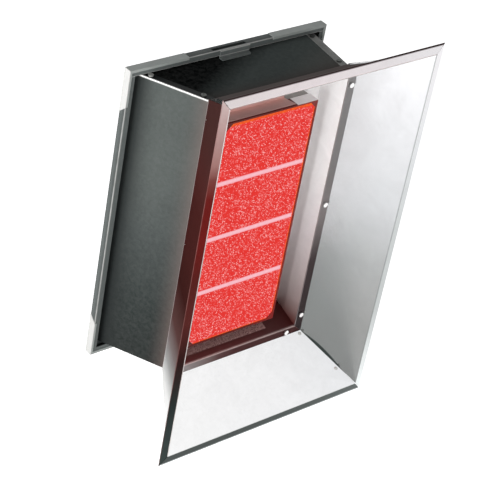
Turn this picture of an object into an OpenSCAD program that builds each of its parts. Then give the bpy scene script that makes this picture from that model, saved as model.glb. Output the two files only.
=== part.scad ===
// Gas infrared heater with a four-tile ceramic burner in a flared mirror reflector.
// The origin is the centre of the rear plane. +Y points to the back, the mouth faces -Y,
// +X is to the right seen from the mouth, and +Z runs along the long side.

/* [Reflector] */
// Width between the folds of the mouth
mouth_w = 360; // [320:1:400]
// Height between the folds of the mouth
mouth_h = 585; // [550:1:640]
// Depth of the flared panels
reflector_d = 108; // [80:1:140]
// Width of the root, where the panels meet the housing
root_w = 247; // [240:1:262]
// Height of the root and of the housing
root_h = 460; // [456:1:476]
// How far the root lies to the right of the mouth's centre
root_shift = 2; // [0:0.5:3]
// Width of the lips on the two long sides
lip_side = 13; // [8:0.5:20]
// Width of the lips on the two short sides
lip_end = 15.5; // [8:0.5:20]
// How far the lips lean back
lip_back = 1.8; // [0:0.1:4]
// Thickness of the reflector sheet
reflector_t = 0.9; // [0.6:0.1:1.2]

/* [Housing] */
// Depth of the housing in front of the rear pan
body_d = 98; // [90:1:120]
// How far the left wall spreads towards the back
left_lean = 50.5; // [46:0.5:60]
// How far the right wall spreads towards the back
right_lean = 12; // [8:0.5:16]
// Thickness of the housing sheet
housing_t = 1; // [0.8:0.1:1.2]
// Width of the wall flanges that lap over the top and bottom
lap_w = 12.5; // [11:0.5:16]

/* [Rear pan] */
// Width of the rear pan
pan_w = 344; // [334:1:370]
// Height of the rear pan
pan_h = 484; // [482:1:510]
// Depth of the pan's rim
pan_d = 12; // [8:1:18]
// Width of the rim's inward lip
pan_lip = 9; // [5:0.5:10]
// Thickness of the pan sheet
pan_t = 1.2; // [0.8:0.1:1.6]
// How far the burner's axis lies to the right of the pan's centre
axis_x = 18; // [14:0.5:20]
// Width between the hanger holes
hanger_x = 280; // [276:1:284]
// Height between the hanger holes
hanger_z = 410; // [400:1:420]
// Radius of a hanger hole
hanger_r = 4.25; // [3.5:0.25:5]

/* [Burner] */
// Width of a ceramic tile
tile_w = 156; // [130:1:158]
// Height of a ceramic tile
tile_h = 92; // [86:1:93]
// Thickness of a ceramic tile
tile_t = 13; // [10:0.5:16]
// Thickness of the joints between the tiles
joint_w = 3; // [2:0.5:4]
// How far the tiles' centre lies below the axis
burner_drop = 11.5; // [10:0.5:14]
// How far the burner's centre lies to the left of the mouth's centre
burner_shift = 3; // [0:0.5:4]
// Depth of the burner from its face to the bulkhead
burner_d = 38.4; // [32:0.2:42]
// How far the burner's face stands in front of the housing
burner_proud = 1.2; // [0:0.2:4]

/* [Gas and control] */
// Outside radius of the mixing tube
tube_r = 18; // [14:0.5:20]
// Width of the gas valve
valve_w = 52; // [44:1:56]
// Height of the gas valve
valve_h = 100; // [90:1:104]
// Radius of the valve's hand knob
knob_r = 15; // [10:0.5:18]
// Minor radius of the half-inch gas thread
gas_thread_r = 9.3; // [8:0.1:10]
// Radius of the conduit bushing's bore
conduit_r = 8; // [6:0.5:9]

/* [Hidden] */
$fn = 48;

// Small clearances and the overrun of every cut
seat_gap = 0.1;
mitre_gap = 0.3;
run_gap = 0.05;
over = 1;

// Depths of the main planes, counted along Y from the rear plane
y_plate = -pan_t;
y_front = y_plate - body_d;
y_mouth = y_front - reflector_d;
y_face = y_front - burner_proud;
y_bulk = y_face + burner_d;

// The strip that frames the burner opening, inside the reflector
strip_raise = 14.3;
y_strip = y_front - strip_raise;
liner_t = 0.9;
liner_in_w = 3.5;
liner_in_h = 6;
liner_half_w = root_w / 2 - root_shift - liner_in_w;
liner_half_h = root_h / 2 - liner_in_h;
liner_slope = 18;
liner_back_h = liner_half_h - (y_bulk - y_strip) * tan(liner_slope);
liner_flange = 8;
strip_screw_in_z = 25;
strip_screw_in_x = 19.5;
strip_screw_z = root_h / 2 - strip_screw_in_z;
strip_screw_x = root_w / 2 - root_shift - strip_screw_in_x;

// Half widths of the root on each side of the burner's axis
root_left = root_w / 2 - root_shift;
root_right = root_w / 2 + root_shift;
root_half_h = root_h / 2;
mouth_half_w = mouth_w / 2;
mouth_half_h = mouth_h / 2;

// Seams of the reflector: the side panels pass the end panels and fold over them
seam_lap = 2.5 * reflector_t;
seam_flange = 12;
seam_start = 12;
seam_end_share = 0.85;
fold_end_share = 0.82;
rivet_inset = 6;
rivet_r = 1.6;
rivet_head_r = 3;
rivet_head_h = 1.1;
rivet_shares = [0.17, 0.74];
tongue_d = 12;
ear_l = 18;

// Screws
screw_r = 1.9;
screw_hole_r = 2;
screw_head_r = 3.6;
screw_head_h = 2.2;
screw_l = 9;
hanger_nut_r = 9.2;
hanger_nut_h = 8;

// Wall geometry: the inner faces of the slanted walls
left_angle = atan(left_lean / body_d);
right_angle = atan(right_lean / body_d);
back_flange = 12;
wall_screw_in = 6.5;
wall_screw_front = 13;
wall_screw_back = 14;

// Rim of the rear pan: hanging slot, the tab cut from it and the corner clips
slot_x0 = -31;
slot_x1 = 28;
slot_y0 = -9.5;
slot_y1 = -3.5;
tab_x0 = -20;
tab_x1 = 32;
tab_reach = 8.5;
tab_round = 4;
clip_t = 1;
clip_len_x = 98;
clip_len_z = 56;
clip_slant = 12;
clip_return = 3;

// Access cover over the control side, with its vent slots
cover_x0 = -128;
cover_x1 = -48;
cover_z0 = -180;
cover_z1 = 5;
cover_lap = 9;
cover_t = 1;
vent_count = 7;
vent_w = 42;
vent_h = 5;
vent_pitch = 12;

// Burner stack, ledge and frame
tile_count = 4;
tile_pitch = tile_h + joint_w;
stack_h = tile_count * tile_pitch - joint_w;
stack_z = -burner_drop;
burner_x = axis_x - burner_shift;
seal_side = 2.5;
seal_top = 7;
seal_bottom = 2.5;
seal_back = 0.6;
burner_half_w = tile_w / 2 + seal_side;
burner_top = stack_z + stack_h / 2 + seal_top;
burner_bottom = stack_z - stack_h / 2 - seal_bottom;
tile_step = 2;
tile_rebate = 4;
plenum_t = 1.2;
ledge_w = 7;
crossbar_w = 12;
frame_t = 1.5;
frame_skirt = 17;
frame_cover = 1;
frame_chamfer = 10;
y_tile_back = y_face + tile_t;
bulk_t = 1.2;
bulk_flange = 14;

// Baffle above the burner
baffle_t = 0.9;
baffle_d = 20;
baffle_start = 3;
baffle_end_x = 40;
baffle_cut = 6;
baffle_up = 6;

// Spreader plate inside the plenum
spreader_in_w = 18;
spreader_in_h = 28.5;
spreader_w = tile_w - 2 * spreader_in_w;
spreader_h = stack_h - 2 * spreader_in_h;
spreader_t = 1;
spreader_off = 12;
spreader_hole_r = 4;
spreader_nx = 3;
spreader_nz = 7;

// Mixing tube behind the bulkhead
tube_t = 1.2;
tube_gap = 9;
tube_y = y_bulk + bulk_t + tube_gap + tube_r;
tube_top = 90;
tube_bottom = -150;
bell_r = 26;
bell_h = 34;
neck_z = 66;
neck_flange_r = 27;
neck_flange_t = 1.5;
plenum_nut_x = 45;
plenum_nut_z = 150;
stud_r = 2.5;
nut_r = 5;
nut_h = 4;

// Orifice, its bracket and the manifold pipe
orifice_r = 5;
orifice_jet_r = 0.8;
orifice_feed_r = 3;
orifice_len = 22;
orifice_hex_r = 7;
orifice_hex_h = 6;
orifice_gap = 14;
orifice_top = tube_bottom - orifice_gap;
orifice_bottom = orifice_top - orifice_len;
orifice_hex_z = orifice_top - orifice_len / 2;
ob_w = 30;
ob_t = 1.5;
ob_leg = 16;
pipe_r = 6;
pipe_t = 1;
pipe_bend = 14;

// Gas valve with its knob, outlet nut, coil and plunger
valve_d = 34;
valve_wall_gap = 3;
bottom_inner = -root_half_h + 2 * housing_t;
valve_lift = 8;
valve_z0 = bottom_inner + valve_lift;
valve_z1 = valve_z0 + valve_h;
pipe_riser = 2;
pipe_z = orifice_bottom - pipe_bend - pipe_riser;
pipe_nut_r = 9;
pipe_nut_h = 11;
knob_up = 66;
knob_z = valve_z0 + knob_up;
knob_h = 7;
knob_hub_r = 8;
knob_hub_h = 3;
knob_bore_r = 3.05;
spindle_r = knob_bore_r - run_gap;
knob_lift = 0.4;
grip_w = 5;
grip_h = 3;
coil_r = 17;
coil_h = 36;
coil_cap = 6;
plunger_r = 5;
plunger_bore_r = 5.3;
plunger_h = 22;
plunger_travel = 3;

valve_side = left_lean * burner_d / body_d - housing_t / cos(left_angle);
valve_x = axis_x - root_left - valve_side + valve_wall_gap + valve_w / 2;

// Gas inlet through the bottom wall
coupling_r = 13.5;
coupling_out = 22;
thread_l = 18;
passage_r = 6;
locknut_r = 18;
locknut_h = 5;

// Ignition module, electrodes and their leads
module_w = 66;
module_d = 34;
module_h = 100;
module_x = -89;
module_z = 90;
module_foot = 8;
module_foot_t = 2;
electrode_off = 10.5;
electrode_pitch = 16;
burner_left = burner_x - burner_half_w;
electrode_x = [burner_left - electrode_off, burner_left - electrode_off - electrode_pitch];
electrode_z = [-30, 8];
insulator_r = 5;
insulator_collar_r = 7.2;
insulator_collar_h = 6;
insulator_front = 30;
insulator_back = 11;
rod_r = 1.4;
rod_out = 12.4;
rod_end_off = 3;
rod_end_x = [burner_left - rod_end_off, burner_left - rod_end_off];
rod_bend = 4;
eb_t = 1.2;
eb_margin = 12;
lead_r = 3.5;
lead_bend = 12;
lead_y = -20;
wire_r = 2.5;
wire_bend = 10;
wire_y = -11;
valve_wire_x = valve_x - coil_r * 0.53;
valve_wire_y = tube_y + coil_r * 0.4;

// Terminal block and conduit bushing
block_w = 44;
block_d = 18;
block_h = 26;
block_x = 92;
block_z = -170;
block_poles = 3;
block_screw_r = 3;
bushing_x = 96;
bushing_y = -30;
bushing_r = 11;
bushing_flange_r = 15;
bushing_in = 10;
bushing_out = 8;
bushing_flange_t = 3;

// Distance of a slanted inner wall face from the burner's axis at depth y
function wall_inner(root_o, lean, angle, y) =
    root_o + lean * (y - y_front) / body_d - housing_t / cos(angle);
// Distance of a reflector panel's mirror face from the axis at depth y
function mirror_at(root_o, mouth_o, y) =
    root_o + (mouth_o - root_o) * (y_front - y) / reflector_d;

left_inner_bulk = wall_inner(root_left, left_lean, left_angle, y_bulk);
right_inner_bulk = wall_inner(root_right, right_lean, right_angle, y_bulk);

// Local frames for the four sides: X outwards from the axis, Y depth, Z along the side
module on_right() {
    translate([axis_x, 0, 0]) children();
}
module on_left() {
    translate([axis_x, 0, 0]) mirror([1, 0, 0]) children();
}
module on_top() {
    translate([axis_x, 0, 0]) mirror([1, 0, -1]) children();
}
module on_bottom() {
    translate([axis_x, 0, 0]) mirror([0, 0, 1]) mirror([1, 0, -1]) children();
}

// Frame of a flat sheet from edge a to edge b: X up the slope, Y along the edge, Z its normal
module on_sheet(a, b) {
    translate([a[0], a[1], 0])
        rotate([0, 0, atan2(b[1] - a[1], b[0] - a[0])])
            rotate([90, 0, 0]) children();
}

// A flat sheet between edge a and edge b, each [distance out, depth], with the span of each edge
module sheet(a, b, span_a, span_b, t, side, lift = 0) {
    run = norm(b - a);
    on_sheet(a, b)
        translate([0, 0, side > 0 ? lift : -lift - t])
            linear_extrude(t)
                polygon([[0, span_a[0]], [run, span_b[0]], [run, span_b[1]], [0, span_a[1]]]);
}

// A box given by its low and high corners
module block(lo, hi) {
    translate(lo) cube(hi - lo);
}

// A rectangle in X and Z, extruded along Y
module slab_y(x0, x1, z0, z1, y0, y1) {
    block([x0, y0, z0], [x1, y1, z1]);
}

// A round bar along Y from y0 to y1
module bar_y(x, z, y0, y1, r) {
    translate([x, y0, z]) rotate([-90, 0, 0]) cylinder(h = y1 - y0, r = r);
}

// A hexagonal nut along Z
module hex(r, h) {
    cylinder(h = h, r = r, $fn = 6);
}

// Screw with a washer head, pointing along +Y into the sheet at the origin
module screw_y(len) {
    rotate([-90, 0, 0]) cylinder(h = len, r = screw_r);
    rotate([90, 0, 0]) cylinder(h = screw_head_h / 2, r = screw_head_r);
    translate([0, -screw_head_h / 2, 0])
        rotate([90, 0, 0]) cylinder(h = screw_head_h / 2, r = screw_head_r * 0.72);
}

// Reflector

// Places of the strip screws on one long side and on one short side
side_screws = [-strip_screw_z, 0, strip_screw_z];
end_screws = [-strip_screw_x, strip_screw_x];

// One small ear behind the strip that takes a strip screw
module ear(root_o, mouth_o, liner_o, z) {
    inner = liner_o + liner_t + over;
    outer = mirror_at(root_o, mouth_o, y_strip + liner_t + reflector_t) + reflector_t / 2;
    block([inner, y_strip + liner_t, z - ear_l / 2],
        [outer, y_strip + liner_t + reflector_t, z + ear_l / 2]);
}

// Tongue at the root that slips inside the housing wall
module tongue(root_o, lean, step, span) {
    inner = root_o - step;
    reach = lean * tongue_d / body_d;
    short = [span[0] + mitre_gap, span[1] - mitre_gap];
    sheet([root_o + reflector_t, y_front], [inner - reflector_t, y_front], short, short, reflector_t, -1);
    sheet([inner - lean * reflector_t / body_d, y_front - reflector_t],
        [inner + reach, y_front + tongue_d], span, span, reflector_t, -1);
}

// Centre of the screw hole across a strip
function strip_mid(root_o, mouth_o, liner_o) =
    (liner_o + liner_t + mirror_at(root_o, mouth_o, y_strip)) / 2;

module strip_holes(root_o, mouth_o, liner_o, places) {
    for (z = places)
        bar_y(strip_mid(root_o, mouth_o, liner_o), z, y_strip - over, y_strip + screw_l, screw_hole_r);
}

// Rivet holes of an end panel, drilled square to its face
module rivet_places(root_span, mouth_span) {
    run = norm([mouth_half_h - root_half_h, reflector_d]);
    on_sheet([root_half_h, y_front], [mouth_half_h, y_mouth])
        for (share = rivet_shares, end = [0, 1]) {
            edge = root_span[end] + (mouth_span[end] - root_span[end]) * share;
            inward = end == 0 ? rivet_inset : -rivet_inset;
            translate([run * share, edge + inward, 0]) children();
        }
}

end_root_span = [-root_left, root_right];
end_mouth_span = [-mouth_half_w, mouth_half_w];

module side_panel(root_o, lean, angle) {
    lip_a = mouth_half_h - mitre_gap;
    tongue_a = root_half_h - 2.5 * lap_w;
    difference() {
        union() {
            on_sheet([root_o, y_front], [mouth_half_w, y_mouth])
                translate([0, 0, -reflector_t]) linear_extrude(reflector_t) side_outline(root_o);
            lip(mouth_half_w, lip_side, lip_a, lip_end);
            tongue(root_o, lean, housing_t / cos(angle) + seat_gap, [-tongue_a, tongue_a]);
            for (z = side_screws)
                ear(root_o, mouth_half_w, liner_half_w, z);
            seam_folds(root_o);
        }
        strip_holes(root_o, mouth_half_w, liner_half_w, side_screws);
        seam_rivet_holes(root_o);
    }
}

// Lip folded outwards at the mouth, with mitred ends
module lip(mouth_o, w, fold_a, end_w) {
    start = mitre_gap;
    sheet([mouth_o + start, y_mouth + lip_back * start / w], [mouth_o + w, y_mouth + lip_back],
        [-fold_a + start, fold_a - start], [-fold_a - end_w, fold_a + end_w], reflector_t, -1);
}

// Outline of a side panel: past the end panels along the seam, then back to the mitre
module side_outline(root_o) {
    run = norm([mouth_half_w - root_o, reflector_d]);
    seam_a = root_half_h + (mouth_half_h - root_half_h) * seam_end_share;
    far = run * seam_end_share;
    for (flip = [0, 1])
        mirror([0, flip])
            polygon([[0, -over], [run, -over], [run, mouth_half_h - mitre_gap], [far, seam_a - mitre_gap],
                [far, seam_a + seam_lap], [0, root_half_h + seam_lap]]);
}

// The folds of a side panel that lie behind the end panels
module seam_folds(root_o) {
    run = norm([mouth_half_h - root_half_h, reflector_d]);
    far = run * fold_end_share;
    near_o = root_o + (mouth_half_w - root_o) * seam_start / run;
    far_o = root_o + (mouth_half_w - root_o) * fold_end_share;
    for (flip = [0, 1])
        mirror([0, 0, flip]) mirror([1, 0, -1])
            on_sheet([root_half_h, y_front], [mouth_half_h, y_mouth])
                translate([0, 0, -2 * reflector_t])
                    linear_extrude(reflector_t)
                        polygon([[seam_start, near_o + reflector_t], [far, far_o + reflector_t],
                            [far, far_o - seam_flange], [seam_start, near_o - seam_flange]]);
}

module seam_rivet_holes(root_o) {
    for (flip = [0, 1])
        mirror([0, 0, flip]) mirror([1, 0, -1])
            rivet_places([-root_o, root_o], end_mouth_span)
                cylinder(h = 6 * reflector_t, r = rivet_r, center = true);
}

module end_panel() {
    lip_a = mouth_half_w - mitre_gap;
    tongue_x = [-root_left + 2.5 * lap_w, root_right - 2.5 * lap_w];
    difference() {
        union() {
            sheet([root_half_h, y_front], [mouth_half_h, y_mouth],
                [end_root_span[0] + seat_gap, end_root_span[1] - seat_gap],
                [end_mouth_span[0] + seat_gap, end_mouth_span[1] - seat_gap], reflector_t, -1);
            lip(mouth_half_h, lip_end, lip_a, lip_side);
            tongue(root_half_h, 0, 2 * housing_t + seat_gap, tongue_x);
            for (x = end_screws)
                ear(root_half_h, mouth_half_h, liner_half_h, x);
        }
        strip_holes(root_half_h, mouth_half_h, liner_half_h, end_screws);
        rivet_places(end_root_span, end_mouth_span)
            cylinder(h = 6 * reflector_t, r = rivet_r, center = true);
    }
}

module reflector_left() {
    color("gainsboro") on_left() side_panel(root_left, left_lean, left_angle);
}
module reflector_right() {
    color("gainsboro") on_right() side_panel(root_right, right_lean, right_angle);
}
module reflector_top() {
    color("whitesmoke") on_top() end_panel();
}
module reflector_bottom() {
    color("whitesmoke") on_bottom() end_panel();
}

module reflector_rivets() {
    color("silver") {
        on_top() rivet_row();
        on_bottom() rivet_row();
    }
}
module rivet_row() {
    rivet_places(end_root_span, end_mouth_span) {
        translate([0, 0, -3 * reflector_t]) cylinder(h = 3 * reflector_t, r = rivet_r);
        cylinder(h = rivet_head_h, r1 = rivet_head_r, r2 = rivet_head_r / 2);
        translate([0, 0, -3 * reflector_t]) cylinder(h = reflector_t, r = rivet_head_r * 0.8);
    }
}

// Liners around the burner: front strip, wall back to the bulkhead and foot flange

module liner(root_o, mouth_o, liner_o, back_o, span_out, span_in, span_back, places) {
    outer = mirror_at(root_o, mouth_o, y_strip + liner_t) - seat_gap;
    foot = [span_back[0] + over, span_back[1] - over];
    lap = liner_t / 3;
    short = liner_t / 2;
    lap_o = liner_o + (back_o - liner_o) * lap / (y_bulk - y_strip);
    end_o = back_o + (liner_o - back_o) * short / (y_bulk - y_strip);
    wall_in = [span_in[0] + seat_gap, span_in[1] - seat_gap];
    wall_back = [span_back[0] + seat_gap, span_back[1] - seat_gap];
    difference() {
        union() {
            sheet([outer, y_strip], [liner_o, y_strip], span_out, span_in, liner_t, 1);
            sheet([lap_o, y_strip + lap], [end_o, y_bulk - short], wall_in, wall_back, liner_t, 1);
            sheet([back_o, y_bulk], [back_o + liner_flange, y_bulk], foot, foot, liner_t, 1);
        }
        strip_holes(root_o, mouth_o, liner_o, places);
    }
}

strip_out_h = mirror_at(root_half_h, mouth_half_h, y_strip + liner_t) - seat_gap;
strip_out_left = mirror_at(root_left, mouth_half_w, y_strip + liner_t) - seat_gap;
strip_out_right = mirror_at(root_right, mouth_half_w, y_strip + liner_t) - seat_gap;

module side_liner(root_o) {
    liner(root_o, mouth_half_w, liner_half_w, liner_half_w, [-strip_out_h, strip_out_h],
        [-liner_half_h, liner_half_h], [-liner_back_h, liner_back_h], side_screws);
}
module end_liner() {
    inner = liner_half_w - mitre_gap;
    liner(root_half_h, mouth_half_h, liner_half_h, liner_back_h,
        [-strip_out_left + mitre_gap, strip_out_right - mitre_gap],
        [-inner, inner], [-inner, inner], end_screws);
}
module liner_left() {
    color("rosybrown") on_left() side_liner(root_left);
}
module liner_right() {
    color("mistyrose") on_right() side_liner(root_right);
}
module liner_top() {
    color("lightgray") on_top() end_liner();
}
module liner_bottom() {
    color("saddlebrown") on_bottom() end_liner();
}

module liner_screws() {
    color("silver") {
        on_left() strip_screws(root_left, mouth_half_w, liner_half_w, side_screws);
        on_right() strip_screws(root_right, mouth_half_w, liner_half_w, side_screws);
        on_top() strip_screws(root_half_h, mouth_half_h, liner_half_h, end_screws);
        on_bottom() strip_screws(root_half_h, mouth_half_h, liner_half_h, end_screws);
    }
}
module strip_screws(root_o, mouth_o, liner_o, places) {
    for (z = places)
        translate([strip_mid(root_o, mouth_o, liner_o), y_strip, z]) screw_y(screw_l);
}

// Housing

// Depths of the wall screws, and their places across the flange
wall_screw_y = [y_front + wall_screw_front, y_plate - wall_screw_back];
function wall_screw_x(root_o, lean, angle, y) = wall_inner(root_o, lean, angle, y) - wall_screw_in;

module side_wall(root_o, lean, angle) {
    back_o = root_o + lean;
    wall_w = housing_t / cos(angle);
    flange_w = lap_w / cos(angle);
    difference() {
        union() {
            translate([0, 0, -root_half_h])
                linear_extrude(root_h)
                    polygon([[root_o, y_front], [back_o, y_plate], [back_o - wall_w, y_plate],
                        [root_o - wall_w, y_front]]);
            for (z = [-root_half_h, root_half_h - housing_t])
                translate([0, 0, z])
                    linear_extrude(housing_t)
                        polygon([[root_o, y_front], [back_o, y_plate], [back_o - flange_w, y_plate],
                            [root_o - flange_w, y_front]]);
            block([back_o - wall_w - back_flange, y_plate - housing_t, -root_half_h + 3 * lap_w],
                [back_o - wall_w / 2, y_plate, root_half_h - 3 * lap_w]);
        }
        wall_screw_holes(root_o, lean, angle);
    }
}
module wall_screw_holes(root_o, lean, angle) {
    for (y = wall_screw_y)
        translate([wall_screw_x(root_o, lean, angle, y), y, 0])
            cylinder(h = root_h + 2 * over, r = screw_hole_r, center = true);
}
module left_wall() {
    color("dimgray") on_left() side_wall(root_left, left_lean, left_angle);
}
module right_wall() {
    color("dimgray") on_right() side_wall(root_right, right_lean, right_angle);
}

module end_wall() {
    left_front = wall_inner(root_left, left_lean, left_angle, y_front) - seat_gap;
    left_back = wall_inner(root_left, left_lean, left_angle, y_plate) - seat_gap;
    right_front = wall_inner(root_right, right_lean, right_angle, y_front) - seat_gap;
    right_back = wall_inner(root_right, right_lean, right_angle, y_plate) - seat_gap;
    translate([0, 0, root_half_h - 2 * housing_t])
        linear_extrude(housing_t)
            polygon([[-left_front, y_front], [right_front, y_front],
                [right_back, y_plate], [-left_back, y_plate]]);
}
module drilled_end_wall() {
    difference() {
        end_wall();
        mirror([1, 0, 0]) wall_screw_holes(root_left, left_lean, left_angle);
        wall_screw_holes(root_right, right_lean, right_angle);
    }
}
module top_wall() {
    color("darkslategray") on_right() drilled_end_wall();
}
module bottom_wall() {
    color("darkslategray")
        difference() {
            on_right() mirror([0, 0, 1]) drilled_end_wall();
            on_right() bulk_screw_holes();
            translate([valve_x, tube_y, -root_half_h])
                cylinder(h = 8 * housing_t, r = coupling_r + seat_gap, center = true);
            translate([bushing_x, bushing_y, -root_half_h])
                cylinder(h = 8 * housing_t, r = bushing_r + seat_gap, center = true);
        }
}

// Screws through the bottom wall into the bulkhead's lower flange
bulk_screw_x = [-root_w / 4, root_w / 4];
bulk_screw_y = y_bulk + bulk_t + bulk_flange / 2;
module bulk_screw_holes() {
    for (x = bulk_screw_x)
        translate([x, bulk_screw_y, -root_half_h])
            cylinder(h = 8 * housing_t, r = screw_hole_r, center = true);
}

module wall_screws() {
    color("silver") on_right() {
        for (flip = [0, 1], y = wall_screw_y)
            mirror([0, 0, flip]) {
                screw_down(-wall_screw_x(root_left, left_lean, left_angle, y), y, root_half_h);
                screw_down(wall_screw_x(root_right, right_lean, right_angle, y), y, root_half_h);
            }
        for (x = bulk_screw_x)
            mirror([0, 0, 1]) screw_down(x, bulk_screw_y, root_half_h - housing_t);
    }
}
module screw_down(x, y, z) {
    translate([x, y, z]) rotate([-90, 0, 0]) screw_y(screw_l);
}

// Rear pan: back plate, four folded webs and lips, hanging slot and its tab
module rear_pan() {
    w = pan_w / 2;
    h = pan_h / 2;
    color("gray")
        difference() {
            union() {
                slab_y(-w, w, -h, h, -pan_t, 0);
                for (side = [-1, 1]) {
                    slab_y(side * w - (side + 1) * pan_t / 2, side * w - (side - 1) * pan_t / 2,
                        -h, h, -pan_d, 0);
                    slab_y(-w, w, side * h - (side + 1) * pan_t / 2, side * h - (side - 1) * pan_t / 2,
                        -pan_d, 0);
                    slab_y(side * w - (side + 1) * pan_lip / 2, side * w - (side - 1) * pan_lip / 2,
                        -h, h, -pan_d, -pan_d + pan_t);
                    slab_y(-w, w, side * h - (side + 1) * pan_lip / 2, side * h - (side - 1) * pan_lip / 2,
                        -pan_d, -pan_d + pan_t);
                }
                hanging_tab(h);
            }
            slab_y(slot_x0, slot_x1, h - 2 * pan_t, h + over, slot_y0, slot_y1);
            slab_y(cover_x0, cover_x1, cover_z0, cover_z1, -2 * pan_t, over);
            hanger_places() bar_y(0, 0, -2 * pan_t, over, hanger_r);
            cover_screw_places() bar_y(0, 0, -2 * pan_t, over, screw_hole_r);
        }
}
module hanging_tab(h) {
    foot_z = root_half_h - housing_t + seat_gap;
    front = -pan_d - tab_reach;
    slab_y(tab_x0, tab_x1, foot_z, h, -pan_d - pan_t, -pan_d);
    slab_y(tab_x0, tab_x1, foot_z, foot_z + pan_t, front + tab_round, -pan_d);
    slab_y(tab_x0, tab_x1 - tab_round, foot_z, foot_z + pan_t, front, -pan_d);
    translate([tab_x1 - tab_round, front + tab_round, foot_z]) cylinder(h = pan_t, r = tab_round);
}
module hanger_places() {
    for (x = [-1, 1], z = [-1, 1])
        translate([x * hanger_x / 2, 0, z * hanger_z / 2]) children();
}
module hanger_nuts() {
    color("silver")
        hanger_places()
            rotate([90, 0, 0])
                translate([0, 0, pan_t])
                    difference() {
                        hex(hanger_nut_r, hanger_nut_h);
                        translate([0, 0, -over]) cylinder(h = hanger_nut_h + 2 * over, r = hanger_r);
                    }
}

// Corner clips: a bent strip over each corner of the rim, with a slanted end on its long-side leg
module corner_clip() {
    w = pan_w / 2;
    h = pan_h / 2;
    tail = h - clip_len_z;
    slab_y(w - clip_len_x, w + clip_t, h, h + clip_t, -pan_d, 0);
    slab_y(w - clip_len_x, w + clip_t, h - clip_return, h + clip_t, -pan_d - clip_t, -pan_d);
    translate([w, 0, 0])
        rotate([90, 0, 90])
            linear_extrude(clip_t)
                polygon([[-pan_d - clip_t, h + clip_t], [0, h + clip_t], [0, tail - clip_slant],
                    [-pan_d - clip_t, tail]]);
    slab_y(w - clip_return, w + clip_t, tail, h + clip_t, -pan_d - clip_t, -pan_d);
}
module corner_clip_top_right() {
    color("darkgray") corner_clip();
}
module corner_clip_top_left() {
    color("darkgray") mirror([1, 0, 0]) corner_clip();
}
module corner_clip_bottom_right() {
    color("darkgray") mirror([0, 0, 1]) corner_clip();
}
module corner_clip_bottom_left() {
    color("darkgray") mirror([1, 0, 0]) mirror([0, 0, 1]) corner_clip();
}

// Access cover behind the gas valve, with vent slots
module cover_screw_places() {
    for (x = [cover_x0 - cover_lap / 2, cover_x1 + cover_lap / 2],
            z = [cover_z0 + cover_lap, cover_z1 - cover_lap])
        translate([x, 0, z]) children();
}
module access_cover() {
    mid_x = (cover_x0 + cover_x1) / 2;
    top_vent = (cover_z0 + cover_z1 + vent_count * vent_pitch) / 2;
    color("slategray")
        difference() {
            slab_y(cover_x0 - cover_lap, cover_x1 + cover_lap, cover_z0 - cover_lap,
                cover_z1 + cover_lap, 0, cover_t);
            for (i = [0 : vent_count - 1])
                slab_y(mid_x - vent_w / 2, mid_x + vent_w / 2, top_vent - i * vent_pitch - vent_h,
                    top_vent - i * vent_pitch, -over, cover_t + over);
            cover_screw_places() bar_y(0, 0, -over, cover_t + over, screw_hole_r);
        }
}
module cover_screws() {
    color("silver")
        cover_screw_places()
            translate([0, cover_t, 0]) rotate([0, 0, 180]) screw_y(screw_l * 0.7);
}

// Bulkhead between the burner and the controls
module bulkhead() {
    x0 = axis_x - left_inner_bulk + seat_gap;
    x1 = axis_x + right_inner_bulk - seat_gap;
    h = root_half_h - 2 * housing_t - seat_gap;
    color("lightslategray")
        difference() {
            union() {
                slab_y(x0, x1, -h, h, y_bulk, y_bulk + bulk_t);
                slab_y(x0, x1, h - bulk_t, h, y_bulk, y_bulk + bulk_flange);
                slab_y(x0, x1, -h, -h + bulk_t, y_bulk, y_bulk + bulk_flange);
            }
            bar_y(axis_x, neck_z, y_bulk - over, y_bulk + 2 * bulk_t, tube_r + seat_gap);
            for (i = [0, 1])
                bar_y(electrode_x[i], electrode_z[i], y_bulk - over, y_bulk + 2 * bulk_t,
                    insulator_r + seat_gap);
            plenum_nut_places()
                bar_y(0, 0, y_bulk - over, y_bulk + 2 * bulk_t, stud_r + seat_gap);
            on_right() bulk_screw_holes();
        }
}
module plenum_nut_places() {
    for (x = [-1, 1], z = [-1, 1])
        translate([axis_x + x * plenum_nut_x, 0, stack_z + z * plenum_nut_z]) children();
}

// Burner

module burner_box(y0, y1, grow) {
    slab_y(burner_x - burner_half_w - grow, burner_x + burner_half_w + grow,
        burner_bottom - grow, burner_top + grow, y0, y1);
}
module burner_plenum() {
    wall = -plenum_t;
    color("slategray")
        difference() {
            union() {
                difference() {
                    burner_box(y_tile_back, y_bulk, 0);
                    burner_box(y_tile_back - over, y_bulk - plenum_t, wall);
                }
                difference() {
                    burner_box(y_tile_back, y_tile_back + plenum_t, 0);
                    slab_y(burner_x - tile_w / 2 + ledge_w, burner_x + tile_w / 2 - ledge_w,
                        stack_z - stack_h / 2 + ledge_w, stack_z + stack_h / 2 - ledge_w,
                        y_tile_back - over, y_tile_back + plenum_t + over);
                }
                for (i = [1 : tile_count - 1])
                    crossbar(stack_z + (i - tile_count / 2) * tile_pitch);
            }
            bar_y(axis_x, neck_z, y_bulk - 2 * plenum_t, y_bulk + over, tube_r + seat_gap);
            plenum_nut_places()
                bar_y(0, 0, y_bulk - 2 * plenum_t, y_bulk + over, stud_r + seat_gap);
        }
}
module crossbar(z) {
    slab_y(burner_x - tile_w / 2, burner_x + tile_w / 2, z - crossbar_w / 2, z + crossbar_w / 2,
        y_tile_back, y_tile_back + plenum_t);
}

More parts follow.
